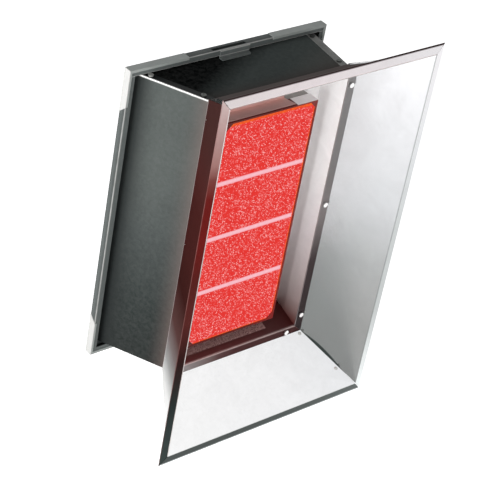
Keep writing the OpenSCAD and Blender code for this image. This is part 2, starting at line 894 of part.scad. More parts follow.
module spreader_baffle() {
    y0 = y_bulk - plenum_t - spreader_off;
    w = spreader_w / 2;
    h = spreader_h / 2;
    color("darkgray")
        difference() {
            union() {
                slab_y(burner_x - w, burner_x + w, stack_z - h, stack_z + h, y0, y0 + spreader_t);
                for (side = [-1, 1])
                    slab_y(burner_x - w, burner_x + w, stack_z + side * h - spreader_t / 2,
                        stack_z + side * h + spreader_t / 2, y0, y_bulk - plenum_t);
            }
            for (i = [0 : spreader_nx - 1], k = [0 : spreader_nz - 1])
                bar_y(burner_x + (i - (spreader_nx - 1) / 2) * spreader_w / spreader_nx,
                    stack_z + (k - (spreader_nz - 1) / 2) * spreader_h / spreader_nz,
                    y0 - over, y0 + spreader_t + over, spreader_hole_r);
        }
}

// One ceramic tile, with a rebate behind its face; tile 0 is the lowest
module tile(i) {
    z0 = stack_z - stack_h / 2 + i * tile_pitch;
    w = tile_w / 2;
    color("tomato") {
        slab_y(burner_x - w, burner_x + w, z0, z0 + tile_h, y_face, y_tile_back - tile_rebate);
        slab_y(burner_x - w + tile_step, burner_x + w - tile_step, z0 + tile_step, z0 + tile_h - tile_step,
            y_face, y_tile_back);
    }
}
module tile_1() {
    tile(0);
}
module tile_2() {
    tile(1);
}
module tile_3() {
    tile(2);
}
module tile_4() {
    tile(3);
}
module tile_joints() {
    color("pink")
        for (i = [1 : tile_count - 1])
            slab_y(burner_x - tile_w / 2, burner_x + tile_w / 2,
                stack_z - stack_h / 2 + i * tile_pitch - joint_w, stack_z - stack_h / 2 + i * tile_pitch,
                y_face + seal_back, y_tile_back - tile_rebate);
}
module tile_seal() {
    color("orange")
        difference() {
            burner_box(y_face + seal_back, y_tile_back, -seat_gap);
            slab_y(burner_x - tile_w / 2, burner_x + tile_w / 2, stack_z - stack_h / 2,
                stack_z + stack_h / 2, y_face - over, y_tile_back + over);
        }
}

// Frame round the tiles: a face with a cut-cornered window, and a skirt over the plenum
module burner_frame() {
    w = burner_half_w - frame_cover;
    lo = burner_bottom + frame_cover;
    hi = burner_top - frame_cover;
    cut = frame_chamfer;
    color("black") {
        difference() {
            burner_box(y_face - frame_t, y_face, frame_t);
            translate([burner_x, y_face + over, 0])
                rotate([90, 0, 0])
                    linear_extrude(frame_t + 2 * over)
                        polygon([[-w + cut, lo], [w - cut, lo], [w, lo + cut], [w, hi - cut],
                            [w - cut, hi], [-w + cut, hi], [-w, hi - cut], [-w, lo + cut]]);
        }
        difference() {
            burner_box(y_face, y_face + frame_skirt, frame_t);
            burner_box(y_face - over, y_face + frame_skirt + over, 0);
        }
    }
}

// Baffle above the burner: a flat strip on the frame with an upturned back edge
module top_baffle() {
    z0 = burner_top + frame_t;
    y0 = y_face + frame_t;
    x0 = burner_x - burner_half_w + baffle_start;
    x1 = axis_x + baffle_end_x;
    color("rosybrown") {
        translate([0, 0, z0])
            linear_extrude(baffle_t)
                polygon([[x0, y0], [x1, y0], [x1 - baffle_cut, y0 + baffle_d], [x0, y0 + baffle_d]]);
        block([x0, y0 + baffle_d - baffle_t, z0], [x1 - baffle_cut, y0 + baffle_d, z0 + baffle_up]);
    }
}

module plenum_nuts() {
    color("silver")
        plenum_nut_places() {
            bar_y(0, 0, y_bulk - plenum_t, y_bulk + bulk_t + 2 * nut_h, stud_r);
            translate([0, y_bulk + bulk_t, 0]) rotate([-90, 0, 0]) hex(nut_r, nut_h);
            bar_y(0, 0, y_bulk - 2 * plenum_t, y_bulk - plenum_t, nut_r);
        }
}

// Mixing tube: bell mouth below, straight tube, capped top and a neck into the plenum
module mixing_tube() {
    color("silver")
        difference() {
            union() {
                translate([axis_x, tube_y, tube_bottom]) {
                    cylinder(h = tube_top - tube_bottom, r = tube_r);
                    cylinder(h = bell_h, r1 = bell_r, r2 = tube_r);
                }
                bar_y(axis_x, neck_z, y_bulk - plenum_t, tube_y, tube_r);
                bar_y(axis_x, neck_z, y_bulk + bulk_t, y_bulk + bulk_t + neck_flange_t, neck_flange_r);
            }
            translate([axis_x, tube_y, tube_bottom - over])
                cylinder(h = tube_top - tube_bottom + over - tube_t, r = tube_r - tube_t);
            translate([axis_x, tube_y, tube_bottom])
                cylinder(h = bell_h, r1 = bell_r - tube_t, r2 = tube_r - tube_t);
            bar_y(axis_x, neck_z, y_bulk - plenum_t - over, tube_y, tube_r - tube_t);
        }
}

// Gas train

module orifice_bracket() {
    y0 = y_bulk + bulk_t;
    z0 = orifice_hex_z + orifice_hex_h / 2;
    color("lightsteelblue")
        difference() {
            union() {
                slab_y(axis_x - ob_w / 2, axis_x + ob_w / 2, z0, z0 + ob_leg, y0, y0 + ob_t);
                slab_y(axis_x - ob_w / 2, axis_x + ob_w / 2, z0, z0 + ob_t, y0, tube_y + ob_leg);
            }
            translate([axis_x, tube_y, z0 - over]) cylinder(h = ob_t + 2 * over, r = orifice_r + run_gap);
        }
}
module orifice() {
    color("goldenrod")
        translate([axis_x, tube_y, 0])
            difference() {
                union() {
                    translate([0, 0, orifice_bottom]) cylinder(h = orifice_len, r = orifice_r);
                    translate([0, 0, orifice_hex_z - orifice_hex_h / 2]) hex(orifice_hex_r, orifice_hex_h);
                }
                translate([0, 0, orifice_bottom - over])
                    cylinder(h = orifice_len + 2 * over, r = orifice_jet_r);
                translate([0, 0, orifice_bottom - over])
                    cylinder(h = orifice_len / 2 + over, r = orifice_feed_r);
            }
}
module manifold_pipe() {
    x0 = valve_x + valve_w / 2;
    x1 = axis_x - pipe_bend;
    color("silver")
        difference() {
            pipe_run(x0, x1, pipe_r, 0);
            pipe_run(x0, x1, pipe_r - pipe_t, over);
        }
}
module pipe_run(x0, x1, r, extra) {
    translate([x0 - extra, tube_y, pipe_z]) rotate([0, 90, 0]) cylinder(h = x1 - x0 + extra, r = r);
    translate([x1, tube_y, pipe_z + pipe_bend])
        rotate([90, 0, 0])
            rotate([0, 0, -90])
                rotate_extrude(angle = 90)
                    translate([pipe_bend, 0]) circle(r = r);
    translate([axis_x, tube_y, pipe_z + pipe_bend]) cylinder(h = pipe_riser + extra, r = r);
}
module pipe_nut() {
    x0 = valve_x + valve_w / 2;
    color("goldenrod")
        translate([x0, tube_y, pipe_z])
            rotate([0, 90, 0])
                difference() {
                    hex(pipe_nut_r, pipe_nut_h);
                    translate([0, 0, -over]) cylinder(h = pipe_nut_h + 2 * over, r = pipe_r);
                }
}

module valve_body() {
    w = valve_w / 2;
    d = valve_d / 2;
    back = tube_y + d;
    rib = valve_w / 8;
    color("silver")
        difference() {
            union() {
                slab_y(valve_x - w, valve_x + w, valve_z0, valve_z1, tube_y - d, back - rib);
                slab_y(valve_x - w + rib, valve_x + w - rib, valve_z0 + rib, valve_z1 - rib, back - rib, back);
                bar_y(valve_x, knob_z, back, back + knob_lift + knob_hub_h + knob_h / 2, spindle_r);
            }
            translate([valve_x, tube_y, valve_z0 - over])
                cylinder(h = valve_h / 3, r = passage_r);
            translate([valve_x, tube_y, pipe_z])
                rotate([0, 90, 0]) cylinder(h = valve_w, r = pipe_r - pipe_t);
            translate([valve_x, tube_y, valve_z1 - plunger_travel])
                cylinder(h = 2 * plunger_travel, r = plunger_bore_r);
        }
}
module valve_knob() {
    back = tube_y + valve_d / 2 + knob_lift;
    color("firebrick")
        difference() {
            union() {
                bar_y(valve_x, knob_z, back, back + knob_hub_h, knob_hub_r);
                bar_y(valve_x, knob_z, back + knob_hub_h, back + knob_hub_h + knob_h, knob_r);
                slab_y(valve_x - grip_w / 2, valve_x + grip_w / 2, knob_z - knob_r * 0.8,
                    knob_z + knob_r * 0.8, back + knob_hub_h + knob_h,
                    back + knob_hub_h + knob_h + grip_h);
            }
            bar_y(valve_x, knob_z, back - over, back + knob_hub_h + knob_h / 2 + over, knob_bore_r);
        }
}

module solenoid_coil() {
    color("darkgreen")
        translate([valve_x, tube_y, valve_z1])
            difference() {
                union() {
                    cylinder(h = coil_h, r = coil_r);
                    translate([0, 0, coil_h]) hex(plunger_r * 1.6, coil_cap);
                }
                translate([0, 0, -over]) cylinder(h = coil_h - coil_cap + over, r = plunger_bore_r);
            }
}
module plunger() {
    color("silver")
        translate([valve_x, tube_y, valve_z1 - plunger_travel + run_gap])
            cylinder(h = plunger_h, r = plunger_r);
}

module inlet_coupling() {
    z0 = -root_half_h - coupling_out;
    color("darkkhaki")
        translate([valve_x, tube_y, 0])
            difference() {
                translate([0, 0, z0]) cylinder(h = valve_z0 - z0, r = coupling_r);
                translate([0, 0, z0 - over]) cylinder(h = thread_l + over, r = gas_thread_r);
                translate([0, 0, z0]) cylinder(h = valve_z0 - z0 + over, r = passage_r);
            }
}
module inlet_locknut() {
    color("silver")
        translate([valve_x, tube_y, -root_half_h + housing_t - locknut_h])
            difference() {
                hex(locknut_r, locknut_h);
                translate([0, 0, -over]) cylinder(h = locknut_h + 2 * over, r = coupling_r + run_gap);
            }
}

// Ignition

module ignition_module() {
    x0 = module_x - module_w / 2;
    z0 = module_z - module_h / 2;
    rib = module_foot_t;
    color("navy") {
        slab_y(x0, x0 + module_w, z0, z0 + module_h, y_plate - module_d, y_plate);
        slab_y(x0 - module_foot, x0 + module_w + module_foot, z0 + module_foot, z0 + 2 * module_foot,
            y_plate - module_foot_t, y_plate);
        slab_y(x0 - module_foot, x0 + module_w + module_foot, z0 + module_h - 2 * module_foot,
            z0 + module_h - module_foot, y_plate - module_foot_t, y_plate);
        slab_y(x0 + 2 * rib, x0 + module_w - 2 * rib, z0 + 2 * rib, z0 + module_h - 2 * rib,
            y_plate - module_d - rib, y_plate - module_d);
    }
}
module electrode_bracket() {
    x0 = min(electrode_x) - eb_margin;
    x1 = max(electrode_x) + eb_margin;
    color("lightsteelblue")
        difference() {
            slab_y(x0, x1, min(electrode_z) - eb_margin, max(electrode_z) + eb_margin,
                y_bulk + bulk_t, y_bulk + bulk_t + eb_t);
            for (i = [0, 1])
                bar_y(electrode_x[i], electrode_z[i], y_bulk - over, y_bulk + bulk_t + eb_t + over,
                    insulator_r + seat_gap);
        }
}
module insulator(i) {
    x = electrode_x[i];
    z = electrode_z[i];
    color("ivory")
        difference() {
            union() {
                bar_y(x, z, y_bulk - insulator_front, y_bulk + insulator_back, insulator_r);
                bar_y(x, z, y_bulk - insulator_collar_h, y_bulk, insulator_collar_r);
            }
            bar_y(x, z, y_bulk - insulator_front - over, y_bulk + insulator_back + over, rod_r);
        }
}
module electrode(i) {
    x = electrode_x[i];
    z = electrode_z[i];
    y1 = y_bulk + insulator_back;
    y0 = y_bulk - insulator_front - rod_out;
    color("silver") {
        bar_y(x, z, y0 + rod_bend, y1, rod_r);
        translate([x + rod_bend, y0 + rod_bend, z])
            rotate([0, 0, 180])
                rotate_extrude(angle = 90)
                    translate([rod_bend, 0]) circle(r = rod_r);
        translate([x + rod_bend, y0, z])
            rotate([0, 90, 0]) cylinder(h = rod_end_x[i] - x - rod_bend, r = rod_r);
    }
}
module spark_insulator() {
    insulator(0);
}
module spark_electrode() {
    electrode(0);
}
module sensor_insulator() {
    insulator(1);
}
module flame_sensor() {
    electrode(1);
}

// High-voltage lead from an insulator back, round one bend and up to the module
module high_lead(i) {
    x = electrode_x[i];
    z = electrode_z[i];
    y0 = y_bulk + insulator_back;
    bar_y(x, z, y0, lead_y - lead_bend, lead_r);
    translate([x, lead_y - lead_bend, z + lead_bend])
        rotate([0, 90, 0])
            rotate_extrude(angle = 90)
                translate([lead_bend, 0]) circle(r = lead_r);
    translate([x, lead_y, z + lead_bend])
        cylinder(h = module_z - module_h / 2 - z - lead_bend, r = lead_r);
}
module spark_lead() {
    color("red") high_lead(0);
}
module sensor_lead() {
    color("orange") high_lead(1);
}
module valve_lead() {
    z0 = valve_z1 + coil_h;
    color("yellow")
        translate([valve_wire_x, valve_wire_y, z0])
            cylinder(h = module_z - module_h / 2 - z0, r = wire_r);
}
module supply_lead() {
    z1 = module_z;
    x1 = module_x + module_w / 2;
    color("black") {
        translate([block_x, wire_y, block_z + block_h / 2])
            cylinder(h = z1 - wire_bend - block_z - block_h / 2, r = wire_r);
        translate([block_x - wire_bend, wire_y, z1 - wire_bend])
            rotate([90, 0, 0])
                rotate_extrude(angle = 90)
                    translate([wire_bend, 0]) circle(r = wire_r);
        translate([x1, wire_y, z1])
            rotate([0, 90, 0]) cylinder(h = block_x - wire_bend - x1, r = wire_r);
    }
}
module terminal_block() {
    x0 = block_x - block_w / 2;
    z0 = block_z - block_h / 2;
    pole = block_w / block_poles;
    color("darkslateblue")
        difference() {
            slab_y(x0, x0 + block_w, z0, z0 + block_h, y_plate - block_d, y_plate);
            for (i = [0 : block_poles - 1])
                bar_y(x0 + (i + 0.5) * pole, z0 + block_h / 2, y_plate - block_d - over,
                    y_plate - block_d / 2, block_screw_r);
        }
}
module conduit_bushing() {
    color("black")
        translate([bushing_x, bushing_y, -root_half_h + housing_t])
            difference() {
                union() {
                    translate([0, 0, -bushing_out]) cylinder(h = bushing_out + bushing_in, r = bushing_r);
                    translate([0, 0, -bushing_out]) cylinder(h = bushing_flange_t, r = bushing_flange_r);
                    translate([0, 0, housing_t]) hex(bushing_flange_r, bushing_flange_t);
                }
                translate([0, 0, -bushing_out - over])
                    cylinder(h = bushing_out + bushing_in + 2 * over, r = conduit_r);
            }
}

rear_pan();
corner_clip_top_left();
corner_clip_top_right();
corner_clip_bottom_left();
corner_clip_bottom_right();
left_wall();
right_wall();
top_wall();
bottom_wall();
wall_screws();
access_cover();
cover_screws();
hanger_nuts();
reflector_left();
reflector_right();
reflector_top();
reflector_bottom();
reflector_rivets();
liner_left();
liner_right();
liner_top();
liner_bottom();
liner_screws();
bulkhead();
burner_plenum();
spreader_baffle();
tile_1();
tile_2();
tile_3();
tile_4();
tile_joints();
tile_seal();
burner_frame();
top_baffle();
plenum_nuts();
mixing_tube();
orifice_bracket();
orifice();
manifold_pipe();
pipe_nut();
valve_body();
valve_knob();
solenoid_coil();
plunger();
inlet_coupling();
inlet_locknut();
ignition_module();
electrode_bracket();
spark_insulator();
spark_electrode();
sensor_insulator();
flame_sensor();
spark_lead();
sensor_lead();
valve_lead();
supply_lead();
terminal_block();
conduit_bushing();
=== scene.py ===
import math

import bpy
from mathutils import Matrix, Vector


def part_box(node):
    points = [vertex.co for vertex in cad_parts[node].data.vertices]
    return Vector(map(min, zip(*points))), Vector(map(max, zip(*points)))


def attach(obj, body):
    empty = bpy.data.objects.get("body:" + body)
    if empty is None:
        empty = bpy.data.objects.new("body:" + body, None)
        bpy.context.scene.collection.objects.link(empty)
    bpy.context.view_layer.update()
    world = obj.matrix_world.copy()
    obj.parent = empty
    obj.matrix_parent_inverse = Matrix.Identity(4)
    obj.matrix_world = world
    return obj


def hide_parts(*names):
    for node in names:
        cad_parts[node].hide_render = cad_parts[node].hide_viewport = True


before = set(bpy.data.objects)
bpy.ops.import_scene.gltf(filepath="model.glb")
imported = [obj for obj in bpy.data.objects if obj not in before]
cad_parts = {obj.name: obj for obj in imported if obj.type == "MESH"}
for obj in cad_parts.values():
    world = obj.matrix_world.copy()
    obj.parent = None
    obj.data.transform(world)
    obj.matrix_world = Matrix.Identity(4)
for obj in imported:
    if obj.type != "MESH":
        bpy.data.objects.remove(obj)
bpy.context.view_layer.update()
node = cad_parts


# Rear pan and its access cover: one tray of folded steel sheet with a raised rim, and a small
# screwed plate behind the gas valve. Both wear the same baked charcoal paint as the housing,
# with a fine orange peel and dull smudges from handling. The pan's rim is graded with painted
# light and shade, and painted highlights run along its folds.
def shade_group(name, inputs, outputs):
    group = bpy.data.node_groups.new(name, "ShaderNodeTree")
    for label, kind, value in inputs:
        socket = group.interface.new_socket(label, in_out="INPUT", socket_type=kind)
        if value is not None:
            socket.default_value = value
    for label, kind in outputs:
        group.interface.new_socket(label, in_out="OUTPUT", socket_type=kind)
    return group, group.nodes.new("NodeGroupInput"), group.nodes.new("NodeGroupOutput")


def calc(tree, kind, *values, clamp=False):
    step = tree.nodes.new("ShaderNodeMath")
    step.operation = kind
    step.use_clamp = clamp
    for socket, value in zip(step.inputs, values):
        if isinstance(value, (int, float)):
            socket.default_value = value
        else:
            tree.links.new(value, socket)
    return step.outputs[0]


def vec_calc(tree, kind, *values):
    step = tree.nodes.new("ShaderNodeVectorMath")
    step.operation = kind
    for socket, value in zip(step.inputs, values):
        if isinstance(value, (tuple, list)):
            socket.default_value = value
        else:
            tree.links.new(value, socket)
    return step.outputs["Value"] if kind in ("DOT_PRODUCT", "LENGTH") else step.outputs["Vector"]


marks, marks_in, marks_out = shade_group(
    "Handling marks",
    [("Place", "NodeSocketVector", None), ("Size", "NodeSocketFloat", 0.05),
     ("Sharpness", "NodeSocketFloat", 2.0)],
    [("Mask", "NodeSocketFloat")])
marks_scaled = vec_calc(marks, "SCALE", marks_in.outputs["Place"])
marks.links.new(calc(marks, "DIVIDE", 1.0, marks_in.outputs["Size"]), marks_scaled.node.inputs["Scale"])
marks_noise = marks.nodes.new("ShaderNodeTexNoise")
marks_noise.inputs["Scale"].default_value = 1.0
marks_noise.inputs["Detail"].default_value = 5.0
marks_noise.inputs["Roughness"].default_value = 0.6
marks_noise.inputs["Distortion"].default_value = 0.6
marks.links.new(marks_scaled, marks_noise.inputs["Vector"])
marks_mid = calc(marks, "SUBTRACT", marks_noise.outputs[0], 0.5)
marks_steep = calc(marks, "MULTIPLY", marks_mid, marks_in.outputs["Sharpness"])
marks.links.new(calc(marks, "ADD", marks_steep, 0.5, clamp=True), marks_out.inputs["Mask"])

fade, fade_in, fade_out = shade_group(
    "Fade across",
    [("Place", "NodeSocketVector", None), ("From", "NodeSocketVector", (0, 0, 0)),
     ("Towards", "NodeSocketVector", (0, 0, 1)), ("Reach", "NodeSocketFloat", 0.05)],
    [("Mask", "NodeSocketFloat")])
fade_gone = vec_calc(fade, "SUBTRACT", fade_in.outputs["Place"], fade_in.outputs["From"])
fade_along = vec_calc(fade, "DOT_PRODUCT", fade_gone, fade_in.outputs["Towards"])
fade_share = calc(fade, "DIVIDE", fade_along, fade_in.outputs["Reach"], clamp=True)
fade_left = calc(fade, "SUBTRACT", 1.0, fade_share)
fade.links.new(calc(fade, "MULTIPLY", fade_left, fade_left), fade_out.inputs["Mask"])

# A thin line along a plane, broken up by noise: it draws painted highlights and shadow lines along folds and
# edges, and the tiles' joints.
fold, fold_in, fold_out = shade_group(
    "Thin line mask",
    [("Place", "NodeSocketVector", None), ("Point", "NodeSocketVector", (0, 0, 0)),
     ("Across", "NodeSocketVector", (0, 0, 1)), ("Width", "NodeSocketFloat", 0.001),
     ("Evenness", "NodeSocketFloat", 0.7)],
    [("Mask", "NodeSocketFloat")])
fold_gone = vec_calc(fold, "SUBTRACT", fold_in.outputs["Place"], fold_in.outputs["Point"])
fold_far = calc(fold, "ABSOLUTE", vec_calc(fold, "DOT_PRODUCT", fold_gone, fold_in.outputs["Across"]))
fold_share = calc(fold, "DIVIDE", fold_far, fold_in.outputs["Width"])
fold_near = calc(fold, "SUBTRACT", 1.0, fold_share, clamp=True)
fold_noise = fold.nodes.new("ShaderNodeTexNoise")
fold_noise.inputs["Scale"].default_value = 60.0
fold_noise.inputs["Detail"].default_value = 3.0
fold.links.new(fold_in.outputs["Place"], fold_noise.inputs["Vector"])
fold_uneven = calc(fold, "MULTIPLY", fold_noise.outputs[0], 0.9)
fold_patchy = calc(fold, "SUBTRACT", calc(fold, "ADD", fold_uneven, fold_in.outputs["Evenness"]), 0.35)
fold.links.new(calc(fold, "MULTIPLY", fold_near, fold_patchy, clamp=True), fold_out.inputs["Mask"])


def new_finish(name, colour, metallic, roughness, specular=0.5):
    material = bpy.data.materials.new(name)
    material.use_nodes = True
    tree = material.node_tree
    shader = tree.nodes["Principled BSDF"]
    shader.inputs["Base Color"].default_value = (*colour, 1.0)
    shader.inputs["Metallic"].default_value = metallic
    shader.inputs["Roughness"].default_value = roughness
    shader.inputs["Specular IOR Level"].default_value = specular
    place = tree.nodes.new("ShaderNodeTexCoord").outputs["Object"]
    return material, tree, shader, place


def use_group(tree, group, place, **values):
    step = tree.nodes.new("ShaderNodeGroup")
    step.node_tree = group
    tree.links.new(place, step.inputs["Place"])
    for label, value in values.items():
        step.inputs[label].default_value = value
    return step.outputs[0]


def blend_colour(tree, mask, first, second):
    step = tree.nodes.new("ShaderNodeMix")
    step.data_type = "RGBA"
    tree.links.new(mask, step.inputs["Factor"])
    for socket, value in ((step.inputs[6], first), (step.inputs[7], second)):
        if isinstance(value, tuple):
            socket.default_value = (*value, 1.0)
        else:
            tree.links.new(value, socket)
    return step.outputs[2]


def paint_fade(tree, place, shown, point, towards, reach, strength, colour):
    mask = use_group(tree, fade, place, From=point, Towards=towards, Reach=reach)
    return blend_colour(tree, calc(tree, "MULTIPLY", mask, strength), shown, colour)


def paint_fold(tree, place, shown, point, across, width, evenness, colour):
    mask = use_group(tree, fold, place, Point=point, Across=across, Width=width, Evenness=evenness)
    return blend_colour(tree, mask, shown, colour)


def shown_as(*screen_colour):
    return tuple(((c / 255 + 0.055) / 1.055) ** 2.4 if c > 10 else c / 255 / 12.92 for c in screen_colour)


def graded(tree, place, direction, low, high, stops):
    along = vec_calc(tree, "DOT_PRODUCT", place, direction)
    share = calc(tree, "DIVIDE", calc(tree, "SUBTRACT", along, low), high - low, clamp=True)
    ramp = tree.nodes.new("ShaderNodeValToRGB")
    tree.links.new(share, ramp.inputs[0])
    points = ramp.color_ramp.elements
    while len(points) < len(stops):
        points.new(0.5)
    for point, (spot, colour) in zip(points, stops):
        point.position = (spot - low) / (high - low)
        point.color = (*shown_as(*colour), 1.0)
    return ramp.outputs[0]


def raise_surface(tree, shader, height, strength, distance):
    bump = tree.nodes.new("ShaderNodeBump")
    bump.inputs["Strength"].default_value = strength
    bump.inputs["Distance"].default_value = distance
    tree.links.new(height, bump.inputs["Height"])
    tree.links.new(bump.outputs["Normal"], shader.inputs["Normal"])


def charcoal_paint(name, direction, low, high, stops, fold_highlight, folds=(), shades=(), shine=0.12):
    material, tree, shader, place = new_finish(name, shown_as(*stops[0][1]), 0.0, 0.5, shine)
    smudge = use_group(tree, marks, place, Size=0.07, Sharpness=1.6)
    dust = use_group(tree, marks, place, Size=0.006, Sharpness=3.0)
    shown = graded(tree, place, direction, low, high, stops)
    shown = blend_colour(tree, calc(tree, "MULTIPLY", smudge, 0.22), shown, (0.004, 0.0045, 0.0045))
    shown = blend_colour(tree, calc(tree, "MULTIPLY", dust, 0.05), shown, (0.30, 0.31, 0.30))
    for shade in shades:
        shown = paint_fade(tree, place, shown, *shade)
    # Painted highlights along the folds.
    for fold_line in folds:
        shown = paint_fold(tree, place, shown, *fold_line, fold_highlight)
    tree.links.new(shown, shader.inputs["Base Color"])
    rough = calc(tree, "ADD", calc(tree, "MULTIPLY", smudge, 0.16), 0.40)
    tree.links.new(rough, shader.inputs["Roughness"])
    peel = tree.nodes.new("ShaderNodeTexNoise")
    peel.inputs["Scale"].default_value = 900.0
    peel.inputs["Detail"].default_value = 2.0
    tree.links.new(place, peel.inputs["Vector"])
    raise_surface(tree, shader, peel.outputs[0], 0.25, 0.00015)
    return material


def finish_nodes(material, *names):
    for name in names:
        node[name].data.materials.clear()
        node[name].data.materials.append(material)


along_x, to_back = (1, 0, 0), (0, 1, 0)
up, down = (0, 0, 1), (0, 0, -1)
grey_highlight = (0.55, 0.55, 0.53)
pan_front, pan_half_w, pan_half_h, slot_z = -0.012, 0.172, 0.242, 0.233
# Painted light on the pan: the rim lighter at the front lip with a painted shadow band just behind it, and
# painted highlights along the folds.
pan_paint = charcoal_paint(
    "Charcoal paint on the pan", to_back, -0.0132, 0.0,
    [(-0.0132, (92, 97, 96)), (-0.0121, (88, 93, 92)), (-0.0112, (58, 62, 61)), (-0.003, (80, 85, 84)),
     (0.0, (66, 70, 70))],
    (0.42, 0.42, 0.41),
    folds=[((-pan_half_w, pan_front, 0), (0.7071, -0.7071, 0), 0.0014, 0.7),
           ((0, pan_front, pan_half_h), (0, -0.7071, 0.7071), 0.0012, 0.8),
           ((0, pan_front, slot_z), up, 0.0007, 0.6)])
finish_nodes(pan_paint, "rear_pan")
cover_paint = charcoal_paint("Charcoal paint on the cover", up, -0.19, 0.02,
                             [(-0.19, (70, 74, 74)), (0.02, (78, 82, 82))], grey_highlight)
finish_nodes(cover_paint, "access_cover")


# Corner clips: four strips of plain zinc-plated steel, bent round the corners of the pan and
# over its lip. The plating is dull and milky, with faint rolling lines and grey smears, and the
# faces on the left side are painted lighter as lit faces.
grain, grain_in, grain_out = shade_group(
    "Rolling lines",
    [("Place", "NodeSocketVector", None), ("Stretch", "NodeSocketVector", (400.0, 400.0, 12.0))],
    [("Value", "NodeSocketFloat")])
grain_noise = grain.nodes.new("ShaderNodeTexNoise")
grain_noise.inputs["Scale"].default_value = 1.0
grain_noise.inputs["Detail"].default_value = 4.0
grain_noise.inputs["Roughness"].default_value = 0.65
grain.links.new(vec_calc(grain, "MULTIPLY", grain_in.outputs["Place"], grain_in.outputs["Stretch"]),
                grain_noise.inputs["Vector"])
grain.links.new(grain_noise.outputs[0], grain_out.inputs["Value"])


def bare_steel(name, colour, roughness, stretch, metallic=1.0, tints=()):
    material, tree, shader, place = new_finish(name, colour, metallic, roughness)
    lines = use_group(tree, grain, place, Stretch=stretch)
    smear = use_group(tree, marks, place, Size=0.03, Sharpness=2.0)
    dark, light, smeared = (tuple(min(1.0, c * part) for c in colour) for part in (0.86, 1.12, 0.7))
    shown = blend_colour(tree, lines, dark, light)
    shown = blend_colour(tree, calc(tree, "MULTIPLY", smear, 0.35), shown, smeared)
    for tint in tints:
        shown = paint_fade(tree, place, shown, *tint)
    tree.links.new(shown, shader.inputs["Base Color"])
    rough = calc(tree, "ADD", calc(tree, "MULTIPLY", lines, 0.14), roughness - 0.07)
    rough = calc(tree, "ADD", rough, calc(tree, "MULTIPLY", smear, 0.10))
    tree.links.new(rough, shader.inputs["Roughness"])
    raise_surface(tree, shader, lines, 0.12, 0.0002)
    return material


# The clips' faces on the left side are painted lighter, as the light falls from the left.
clip_left_painted_light = ((-0.1721, 0, 0), along_x, 0.0003, 1.0, (0.47, 0.47, 0.46))
clip_steel = bare_steel("Milky zinc on the clips", (0.27, 0.29, 0.28), 0.6, (90.0, 500.0, 90.0),
                        metallic=0.1, tints=[clip_left_painted_light])
finish_nodes(clip_steel, "corner_clip_top_left", "corner_clip_top_right", "corner_clip_bottom_left",
             "corner_clip_bottom_right")


# Housing: two slanted side walls whose flanges lap over the top and bottom sheets, all in the
# charcoal paint. Light is painted into the paint: the walls darken towards the bottom, with a
# painted shadow by the rim, a painted brown reflection of the reflector along the front, dark
# painted shade on the top faces and painted highlights along the top folds.
wall_front, wall_back, wall_top = (0, -0.0992, 0), (0, -0.012, 0), (0, 0, 0.2294)
# Painted shade on the side walls: darker towards the bottom, and dark on the top faces of the flanges.
wall_painted_shade = [(-0.23, (20, 25, 24)), (-0.14, (30, 36, 35)), (-0.02, (55, 60, 59)), (0.08, (69, 74, 72)),
               (0.2275, (70, 75, 73)), (0.229, (20, 22, 23)), (0.231, (16, 18, 19))]
# Painted reflection of the brown reflector along the walls' front edge.
painted_reflection_front = (wall_front, to_back, 0.030, 0.5, shown_as(104, 90, 86))
# Painted shadow from the rim along the back of the walls.
shaded_back = (wall_back, (0, -1, 0), 0.035, 0.85, shown_as(30, 33, 33))
# The left wall's top fold gets a near-white painted highlight, the right wall's a grey one.
left_paint = charcoal_paint(
    "Charcoal paint on the left wall", up, -0.23, 0.231, wall_painted_shade, (0.95, 0.95, 0.93),
    folds=[((-0.1035, -0.0992, 0.2300), (-0.629, -0.324, 0.707), 0.0019, 0.95)],
    shades=[painted_reflection_front, shaded_back, (wall_top, down, 0.0003, 1.0, shown_as(9, 12, 12))])
finish_nodes(left_paint, "left_wall")
right_paint = charcoal_paint(
    "Charcoal paint on the right wall", up, -0.23, 0.231, wall_painted_shade, (0.30, 0.30, 0.29),
    folds=[((0, 0, 0.230), up, 0.0011, 0.5)],
    shades=[painted_reflection_front, shaded_back, (wall_top, down, 0.0003, 1.0, shown_as(44, 50, 49))])
finish_nodes(right_paint, "right_wall")
# Painted shade on the top and bottom sheets: near black at the back by the rim, lighter towards the front,
# with the painted reflection along the front edge.
ends_painted_shade = charcoal_paint(
    "Charcoal paint on the ends with painted shade", (0.55, -1, 0), -0.05, 0.15,
    [(-0.05, (2, 3, 3)), (0.01, (5, 7, 8)), (0.06, (68, 74, 73)), (0.10, (70, 76, 75)), (0.15, (84, 85, 83))],
    grey_highlight, shades=[(wall_front, to_back, 0.030, 0.6, shown_as(70, 60, 58))], shine=0.0)
finish_nodes(ends_painted_shade, "top_wall", "bottom_wall")


# Screws, rivets and nuts: small zinc-plated steel pieces, turned or pressed. The housing screws,
# but for one left in plain zinc, wear a darker copy of the zinc as painted shade, and those on the
# strips in front a brighter copy as painted light.
fine_grain = (700.0, 700.0, 700.0)
screw_zinc = bare_steel("Zinc on the screws", (0.55, 0.55, 0.53), 0.36, fine_grain, metallic=0.8)
